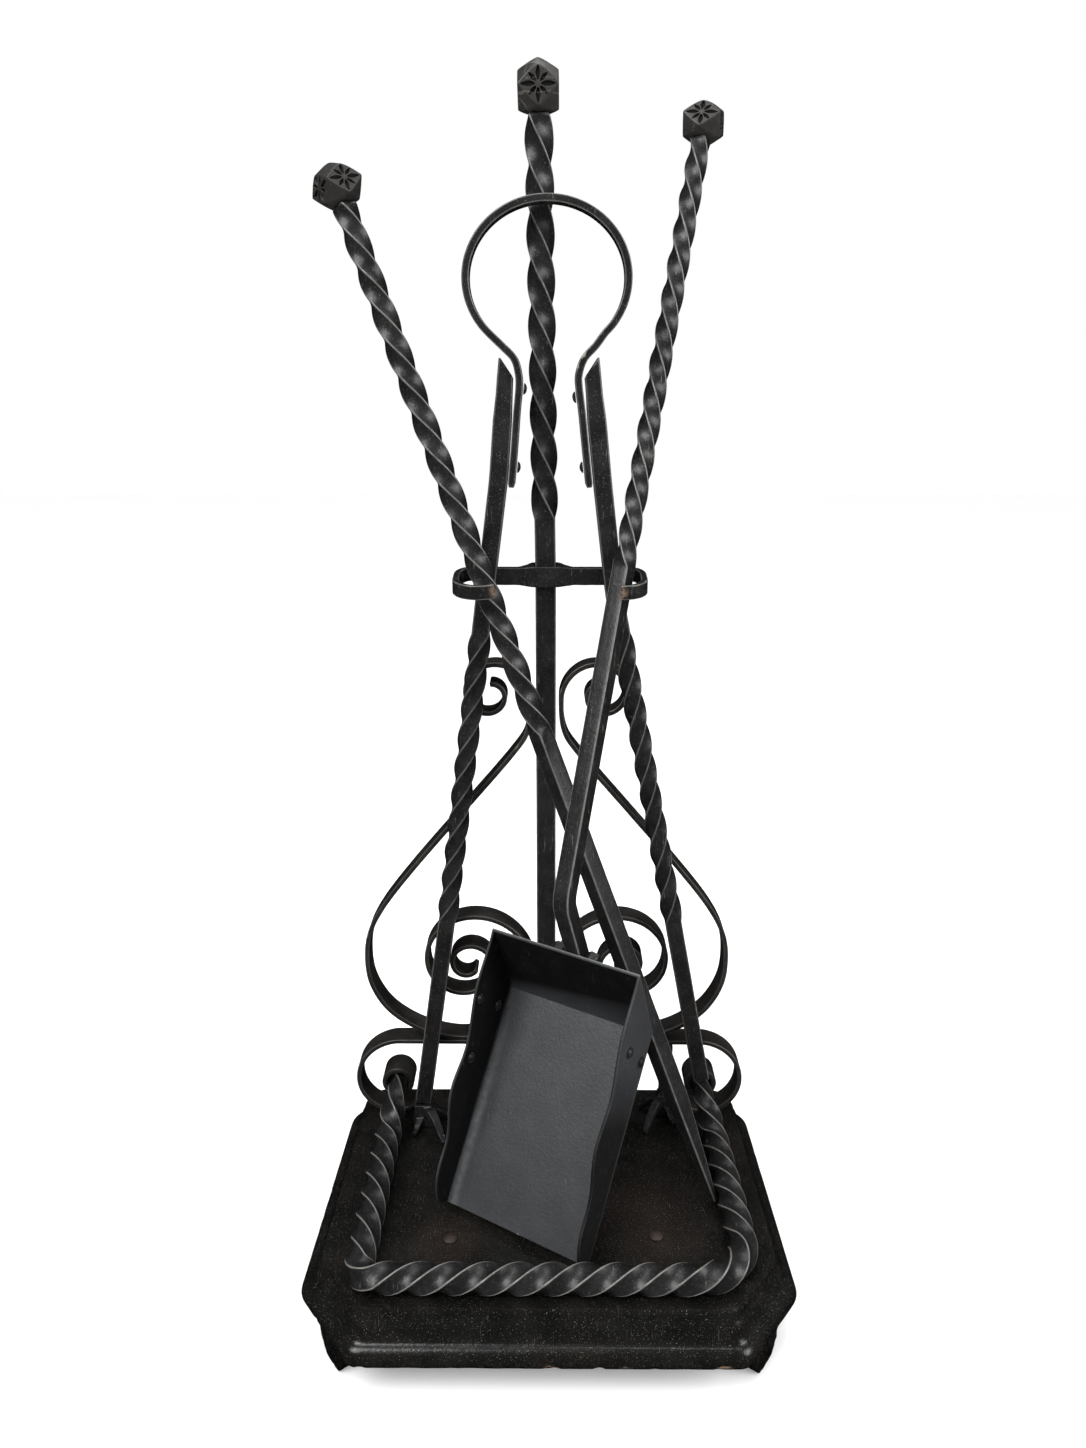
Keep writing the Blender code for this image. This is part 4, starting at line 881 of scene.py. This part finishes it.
# -------- scroll panel
def scroll_outline():
    curl = spiral(CURL_CENTRE, CURL_START_RADIUS, CURL_DECAY, CURL_QUARTERS, 0.0, 1)
    curl.reverse()
    volute = spiral(VOLUTE_CENTRE, VOLUTE_START_RADIUS, VOLUTE_DECAY, VOLUTE_QUARTERS, -pi / 2, 1)
    middle = smooth_curve([curl[-7], curl[-1]] + list(SCROLL_SWEEP) + [volute[0], volute[7]], 14)
    start = middle.index(tuple(curl[-1]))
    end = middle.index(tuple(volute[0]))
    return curl[:-1] + middle[start:end] + volute


def make_scroll(node, mirrored):
    points = []
    for x, z in scroll_outline():
        points.append(at(2 * post_x(z) - x if mirrored else x, PANEL_Y, z))
    make_strip(node, points, BAND_THICKNESS, BAND_WIDTH)


def make_bottom_scroll(node, side):
    top_z = VOLUTE_CENTRE[1] - VOLUTE_START_RADIUS - BAND_THICKNESS - CLEARANCE
    rolled = spiral((SOCKET_X, SOCKET_Z), top_z - SOCKET_Z, ROLL_DECAY, ROLL_QUARTERS, pi / 2, -1)
    post_face = side * post_x(top_z) + POST_BAR / 2 + CLEARANCE
    start = at(side * post_face, PANEL_Y, top_z)
    points = spaced(start, at(side * 0.1, PANEL_Y, top_z), 2 * STEP)
    points += [at(side * x, PANEL_Y, z) for x, z in rolled]
    make_strip(node, points, BAND_THICKNESS, BAND_WIDTH)


def make_sockets():
    front = PANEL_Y - BAND_WIDTH / 2 - 0.001
    rear = front + SOCKET_DEPTH
    profile = []
    for radius, y, spread, forward in ((SOCKET_OUTER, front, -1, 1), (SOCKET_OUTER, rear, -1, -1),
                                       (SOCKET_INNER, rear, 1, -1), (SOCKET_INNER, front, 1, 1)):
        corner = [(radius + spread * SOCKET_LIP, y),
                  (radius + spread * 0.3 * SOCKET_LIP, y + forward * 0.3 * SOCKET_LIP),
                  (radius, y + forward * SOCKET_LIP)]
        profile += corner if spread != forward else corner[::-1]
    for label, side in (("left", -1), ("right", 1)):
        rows = []
        for radius, y in profile:
            row = []
            for index in range(SOCKET_SIDES):
                angle = 2 * pi * index / SOCKET_SIDES
                row.append(at(side * SOCKET_X + radius * cos(angle), y,
                              SOCKET_Z + radius * sin(angle)))
            rows.append(row)
        make_piece(f"{label}_rail_socket", loft(rows, closed=True))


# -------- finials
def petal_depth(x, y):
    """Depth of the carving at a place on a diamond face; x and y run from -1 to 1."""
    distance = hypot(x, y)
    angle = atan2(y, x)
    deepest = 0.0
    for index in range(PETALS):
        petal = 2 * pi * index / PETALS
        offset = atan2(sin(angle - petal), cos(angle - petal))
        if abs(offset) > pi / 2:
            continue
        along = distance * cos(offset)
        aside = abs(distance * sin(offset))
        share = (along - PETAL_START) / (PETAL_REACH[index % 2] - PETAL_START)
        if 0.0 < share < 1.0:
            width = PETAL_WIDTH[index % 2] * sin(pi * share ** PETAL_FULLNESS)
            if aside < width:
                deepest = max(deepest, min(1.0, PETAL_FLOOR * (1.0 - (aside / width) ** 2)))
    return deepest


def patch(shape, corners, count):
    """A grid across three or four corners."""
    grid = []
    for i in range(count + 1):
        row = []
        for j in range(count + 1):
            if len(corners) == 3:
                if i + j > count:
                    break
                a, b, c = corners
                row.append(shape.verts.new(a + (b - a) * (i / count) + (c - a) * (j / count)))
            else:
                a, b, c, d = corners
                u, v = i / count, j / count
                row.append(shape.verts.new(a * ((1 - u) * (1 - v)) + b * (u * (1 - v)) + c * (u * v)
                                           + d * ((1 - u) * v)))
        grid.append(row)
    for i in range(count):
        for j in range(count):
            if len(corners) == 3:
                if i + j < count:
                    shape.faces.new((grid[i][j], grid[i + 1][j], grid[i][j + 1]))
                if i + j < count - 1:
                    shape.faces.new((grid[i + 1][j], grid[i + 1][j + 1], grid[i][j + 1]))
            else:
                shape.faces.new((grid[i][j], grid[i + 1][j], grid[i + 1][j + 1], grid[i][j + 1]))


def make_finial(node, bottom, axis, facing, tall):
    """Block with cut corners, a rosette of leaf-shaped hollows carved in each diamond side."""
    half = FINIAL_HALF_WIDTH
    across = axis.cross(facing).normalized()
    toward = across.cross(axis).normalized()
    centre = bottom + axis * tall

    def spot(a, b, c):
        return centre + across * a + toward * b + axis * c

    belt = [spot(a * half, b * half, 0) for a, b in ((-1, -1), (1, -1), (1, 1), (-1, 1))]
    edges = ((0, -half), (half, 0), (0, half), (-half, 0))
    top = [spot(a, b, tall) for a, b in edges]
    low = [spot(a, b, -tall) for a, b in edges]
    crown = spot(0, 0, tall + FINIAL_CROWN)
    shape = bmesh.new()
    for index in range(4):
        after = (index + 1) % 4
        patch(shape, (belt[index], low[index], belt[after], top[index]), FINIAL_GRID)
        patch(shape, (top[index], belt[after], top[after]), FINIAL_GRID)
        patch(shape, (low[index], low[after], belt[after]), FINIAL_GRID)
        patch(shape, (top[index], top[after], crown), FINIAL_GRID)
    patch(shape, low, FINIAL_GRID)
    bmesh.ops.remove_doubles(shape, verts=shape.verts, dist=0.000002)
    sharp = [edge for edge in shape.edges
             if len(edge.link_faces) == 2 and edge.calc_face_angle(0.0) > FINIAL_EDGE_ANGLE]
    near = {vertex for edge in sharp for vertex in edge.verts}
    for _ in range(FINIAL_WEAR_SPREAD):
        near |= {edge.other_vert(vertex) for vertex in near for edge in vertex.link_edges}
    ordered = [vertex for vertex in shape.verts if vertex in near]
    for _ in range(FINIAL_WEAR_PASSES):
        bmesh.ops.smooth_vert(shape, verts=ordered, factor=0.5,
                              use_axis_x=True, use_axis_y=True, use_axis_z=True)
    # painted shade: the carving's hollows are darkened in step with their depth
    carving_shade = shape.verts.layers.float.new("painted_shade_and_soot")
    for vertex in shape.verts:
        local = vertex.co - centre
        a, b, c = local.dot(across), local.dot(toward), local.dot(axis)
        side, along = (a, b) if abs(b) > abs(a) else (b, a)
        on_face = abs(along) > FINIAL_FACE_SHARE * half
        carving = petal_depth(side / half, c / tall) if on_face else 0.0
        outward = toward * copysign(1.0, b) if abs(b) > abs(a) else across * copysign(1.0, a)
        doming = -FINIAL_TOP_DOMING if c > 0.0 else FINIAL_FOOT_DOMING
        reach = (a * a + b * b) / half ** 2 * (abs(c) / tall) ** 3
        vertex.co += axis * (doming * reach) - outward * (PETAL_DEPTH * carving)
        vertex[carving_shade] = carving
    make_piece(node, shape)


# -------- poker
def make_poker():
    point = at(*POKER_POINT)
    axis = (at(*POKER_AT_HOOK) - point).normalized()
    points = spaced(point, point + axis * POKER_LENGTH)
    lengths = lengths_along(points)
    turns = [angle + pi / 4 for angle in
             twist_turns(lengths, POKER_TWIST_START, POKER_LENGTH, POKER_QUARTER_TURN, 1)]
    sides = []
    for length in lengths:
        share = min(1.0, length / POKER_TAPER) ** POKER_TAPER_CURVE
        sides.append(POKER_TIP_BAR + (POKER_BAR - POKER_TIP_BAR) * share)
    make_piece("poker_shaft", sweep(points, BACK, square(sides), turns, ridge=0.6))
    make_finial("poker_finial", point + axis * (POKER_LENGTH + CLEARANCE), axis, POKER_FINIAL_FACING,
                TOOL_FINIAL_HALF_HEIGHT)


# -------- shovel
def pan_frame():
    turn = (Matrix.Rotation(PAN_YAW, 3, "Z") @ Matrix.Rotation(-PAN_ROLL, 3, "Y")
            @ Matrix.Rotation(PAN_SLOPE, 3, "X"))
    return turn.col[0].copy(), turn.col[1].copy(), turn.col[2].copy(), at(*PAN_LIP_MIDDLE)


def pan_point(pan, across, along, out):
    ex, el, en, lip = pan
    return lip + ex * across + el * along + en * out


def wall_height(share):
    rise = PAN_LIP_HEIGHT + (PAN_BACK_HEIGHT - PAN_LIP_HEIGHT) * share ** 0.55
    scallop = PAN_SCALLOP * sin(share * pi * PAN_SCALLOPS)
    return rise + scallop * sin(pi * share) ** 0.5


def divided(first, second, count):
    """Points from first up to, but not including, second."""
    return [tuple(a + (b - a) * index / count for a, b in zip(first, second)) for index in range(count)]


def pan_section(share):
    """The folded sheet's eight corners at a share of its length, each (across, out, shift along)."""
    outer = PAN_WIDTH / 2
    inner = outer - PAN_SHEET
    high = wall_height(share)
    lean = PAN_BACK_LEAN * high * share ** 3
    return [(-outer, high, lean), (-outer, 0.0, 0.0), (outer, 0.0, 0.0), (outer, high, lean),
            (inner, high, lean), (inner, PAN_SHEET, 0.0), (-inner, PAN_SHEET, 0.0),
            (-inner, high, lean)]


def pan_rows(shape, pan):
    """The sheet's skin; each row of points goes once round the section."""
    rows = []
    for station in range(PAN_STATIONS + 1):
        share = station / PAN_STATIONS
        section = pan_section(share)
        row = []
        for index, count in enumerate(PAN_STRETCHES):
            for across, out, shift in divided(section[index], section[(index + 1) % 8], count):
                row.append(shape.verts.new(pan_point(pan, across, PAN_LENGTH * share + shift, out)))
        rows.append(row)
    for lower, upper in zip(rows, rows[1:]):
        join_rings(shape, lower, upper)
    return rows


def close_pan(shape, pan, lip_row, back_row):
    """The sheet's cut edge along the lip, and the leaning back wall."""
    ring = len(lip_row)
    starts = [sum(PAN_STRETCHES[:index]) for index in range(8)]
    side_a, floor_a, side_b, rim_b, in_b, floor_in, in_a, rim_a = starts
    for first, second, count in zip((side_a, floor_a, side_b), (rim_a, in_a, floor_in), PAN_STRETCHES):
        for step in range(count):
            shape.faces.new((lip_row[(first + step) % ring], lip_row[(second - step) % ring],
                             lip_row[(second - step - 1) % ring], lip_row[(first + step + 1) % ring]))
    outer = PAN_WIDTH / 2
    high = wall_height(1.0)
    lean = PAN_BACK_LEAN * high
    depth = PAN_LENGTH + PAN_SHEET * PAN_BACK_THICKNESS
    outline = [(-outer, depth, 0.0), (outer, depth, 0.0), (outer, depth + lean, high),
               (-outer, depth + lean, high)]
    back = [shape.verts.new(pan_point(pan, *spot)) for spot in outline]

    def edge(first, length):
        return [back_row[(first + step) % ring] for step in range(length + 1)]

    shape.faces.new(edge(floor_a, PAN_STRETCHES[1]) + [back[1], back[0]])
    shape.faces.new(edge(side_b, PAN_STRETCHES[2]) + [back[2], back[1]])
    shape.faces.new(edge(side_a, PAN_STRETCHES[0]) + [back[0], back[3]])
    shape.faces.new(back)
    inner_wall = edge(in_b, sum(PAN_STRETCHES[4:7]))
    shape.faces.new(inner_wall)
    shape.faces.new([inner_wall[0], inner_wall[-1], back_row[side_a], back[3], back[2],
                     back_row[rim_b]])


def make_pan():
    """One folded sheet: floor, leaning back wall and two scalloped side walls."""
    pan = pan_frame()
    shape = bmesh.new()
    rows = pan_rows(shape, pan)
    close_pan(shape, pan, rows[0], rows[-1])
    ex, el, en, lip = pan
    outer = PAN_WIDTH / 2
    inner = outer - PAN_SHEET

    def soot_and_painted_shade(point):
        """Painted shade and soot: the walls' inner faces are darkened to near black, the right wall's
        outside is darkened toward the lip, and the floor is left clean.
        """
        local = point - lip
        across, out = local.dot(ex), local.dot(en)
        above_floor = out > 1.2 * PAN_SHEET
        on_side = abs(abs(across) - inner) < PAN_FACE_REACH and above_floor
        on_back = abs(across) < inner and above_floor and local.dot(el) > PAN_LENGTH - 0.001
        if on_side or on_back:
            return 1.0
        along = local.dot(el) / PAN_LENGTH
        if across > outer - PAN_FACE_REACH and out > 0.0:
            return PAN_OUTSIDE_DARK_STRENGTH * clamped((PAN_OUTSIDE_DARK_END - along) / PAN_OUTSIDE_DARK_FADE)
        return 0.0

    def painted_fold_highlight(point):
        """Painted highlight: the floor is brightest along the left fold, a light streak painted into its
        colour.
        """
        local = point - lip
        from_fold = local.dot(ex) + inner - PAN_FOLD_HIGHLIGHT_PLACE
        if local.dot(en) > 1.5 * PAN_SHEET or local.dot(en) < 0.5 * PAN_SHEET:
            return 0.0
        along = local.dot(el) / PAN_LENGTH
        streak = exp(-(from_fold / PAN_FOLD_HIGHLIGHT_WIDTH) ** 2)
        return PAN_FOLD_HIGHLIGHT * streak * min(1.0, PAN_FOLD_HIGHLIGHT_FADE * (1.0 - along))

    # painted shade and soot on the pan's walls
    paint(shape, "painted_shade_and_soot", soot_and_painted_shade)
    # the ridge mask carries the painted highlight along the pan's left fold
    paint(shape, "ridge", painted_fold_highlight)
    make_piece("shovel_pan", shape, smooth_angle=30.0, bevel=0.0005)


def make_shovel():
    pan = pan_frame()
    ex, el, en, _ = pan
    high = wall_height(1.0)
    lean = PAN_BACK_LEAN * high
    wall_up = (el * lean + en * high).normalized()
    wall_out = ex.cross(wall_up).normalized()
    if wall_out.dot(el) < 0:
        wall_out = -wall_out
    make_pan()
    rim = pan_point(pan, 0.0, PAN_LENGTH + PAN_SHEET * PAN_BACK_THICKNESS + lean, high)
    top = rim + ex * SHOVEL_ACROSS + wall_out * (SHOVEL_BAR / 2 + CLEARANCE)
    knee = top + wall_up * SHOVEL_KNEE_RISE
    axis = (at(*SHOVEL_AT_HOOK) - knee).normalized()
    twist_start = at(*SHOVEL_AT_HOOK) + axis * SHOVEL_TWIST_ABOVE_HOOK
    handle_top = knee + axis * SHOVEL_TOP_LENGTH
    points = rounded_path([top - wall_up * SHOVEL_STRAP_OVERLAP, knee, handle_top], [SHOVEL_KNEE_RADIUS])
    lengths = lengths_along(points)
    start = lengths[-1] - (handle_top - twist_start).length
    turns = twist_turns(lengths, start, lengths[-1], SHOVEL_QUARTER_TURN, 1)
    sides = twist_sides(lengths, start, lengths[-1] + SHOVEL_BAR, SHOVEL_BAR)
    make_piece("shovel_shaft", sweep(points, wall_out, square(sides), turns, ridge=0.6))
    make_finial("shovel_finial", handle_top + axis * CLEARANCE, axis, SHOVEL_FINIAL_FACING,
                TOOL_FINIAL_HALF_HEIGHT)


# -------- small and rough pieces
def make_reworked_pieces():
    small = ["left_scroll_rivet", "right_scroll_rivet", "left_base_bolt", "right_base_bolt",
             "left_pan_bolt", "right_pan_bolt"]
    small += [node for node in SLOT_OF if node.endswith("loop_rivet") or "pan_rivet" in node]
    feet = ["front_left_foot", "front_right_foot", "rear_left_foot", "rear_right_foot"]
    claws = ["left_claw_foot", "right_claw_foot"]
    bars = ["crossbar", "right_panel_stay"]
    for nodes, wear in ((small, RIVET_WEAR), (feet, FOOT_WEAR), (claws, CLAW_WEAR), (bars, BAR_WEAR)):
        for node in nodes:
            make_piece(node, reworked(node, *wear))


# -------- studio
def make_studio():
    mesh = bpy.data.meshes.new("studio_floor")
    shape = bmesh.new()
    bmesh.ops.create_grid(shape, x_segments=8, y_segments=8, size=FLOOR_SIZE)
    shape.to_mesh(mesh)
    shape.free()
    floor = new_object("studio_floor", mesh)
    floor.location = (0.0, 0.0, -FLOOR_DROP)
    nodes = Nodes("pale_floor")
    tone = nodes.mix(nodes.noise(3.0, 2.0), (0.86, 0.86, 0.86), (0.89, 0.89, 0.89))
    nodes.link(tone, nodes.shader.inputs["Base Color"])
    nodes.shader.inputs["Roughness"].default_value = 0.9
    nodes.shader.inputs["Emission Color"].default_value = (1.0, 1.0, 1.0, 1.0)
    nodes.shader.inputs["Emission Strength"].default_value = FLOOR_GLOW
    mesh.materials.append(nodes.material)
    floor.visible_glossy = False
    world = bpy.data.worlds.new("studio")
    world.use_nodes = True
    background = world.node_tree.nodes["Background"]
    background.inputs["Color"].default_value = (1.0, 1.0, 1.0, 1.0)
    background.inputs["Strength"].default_value = STUDIO_FILL
    world.cycles_visibility.glossy = False
    bpy.context.scene.world = world
    bpy.context.scene.view_settings.view_transform = "Standard"
    for light in LIGHTS:
        add_light(*light)


def add_light(name, place, size, power):
    light = bpy.data.lights.new(name, "AREA")
    light.shape = "SQUARE"
    light.size = size
    light.energy = power
    lamp = new_object(name, light)
    lamp.location = place
    lamp.rotation_euler = (LIGHT_AIM - Vector(place)).to_track_quat("-Z", "Y").to_euler()


def make_camera():
    data = bpy.data.cameras.new("camera")
    data.lens = CAMERA_LENS
    data.sensor_width = 36.0
    camera = new_object("camera", data)
    camera.location = CAMERA_PLACE
    camera.rotation_euler = CAMERA_TURN
    bpy.context.scene.camera = camera


make_base()
make_rail()
make_leg("left_leg", LEFT_LEG_LINE, -1)
make_leg("right_leg", RIGHT_LEG_LINE, 1)
make_post()
make_finial("centre_finial", post_at(POST_TOP + CLEARANCE),
            Vector((POST_UPPER_LEAN, 0, 1)).normalized(), -BACK, CENTRE_FINIAL_HALF_HEIGHT)
make_hook("left_tool_hook", LEFT_HOOK, -1)
make_hook("right_tool_hook", RIGHT_HOOK, 1)
make_loop()
make_scroll("left_scroll", False)
make_scroll("right_scroll", True)
make_bottom_scroll("left_bottom_scroll", -1)
make_bottom_scroll("right_bottom_scroll", 1)
make_sockets()
make_poker()
make_shovel()
make_reworked_pieces()
make_studio()
make_camera()
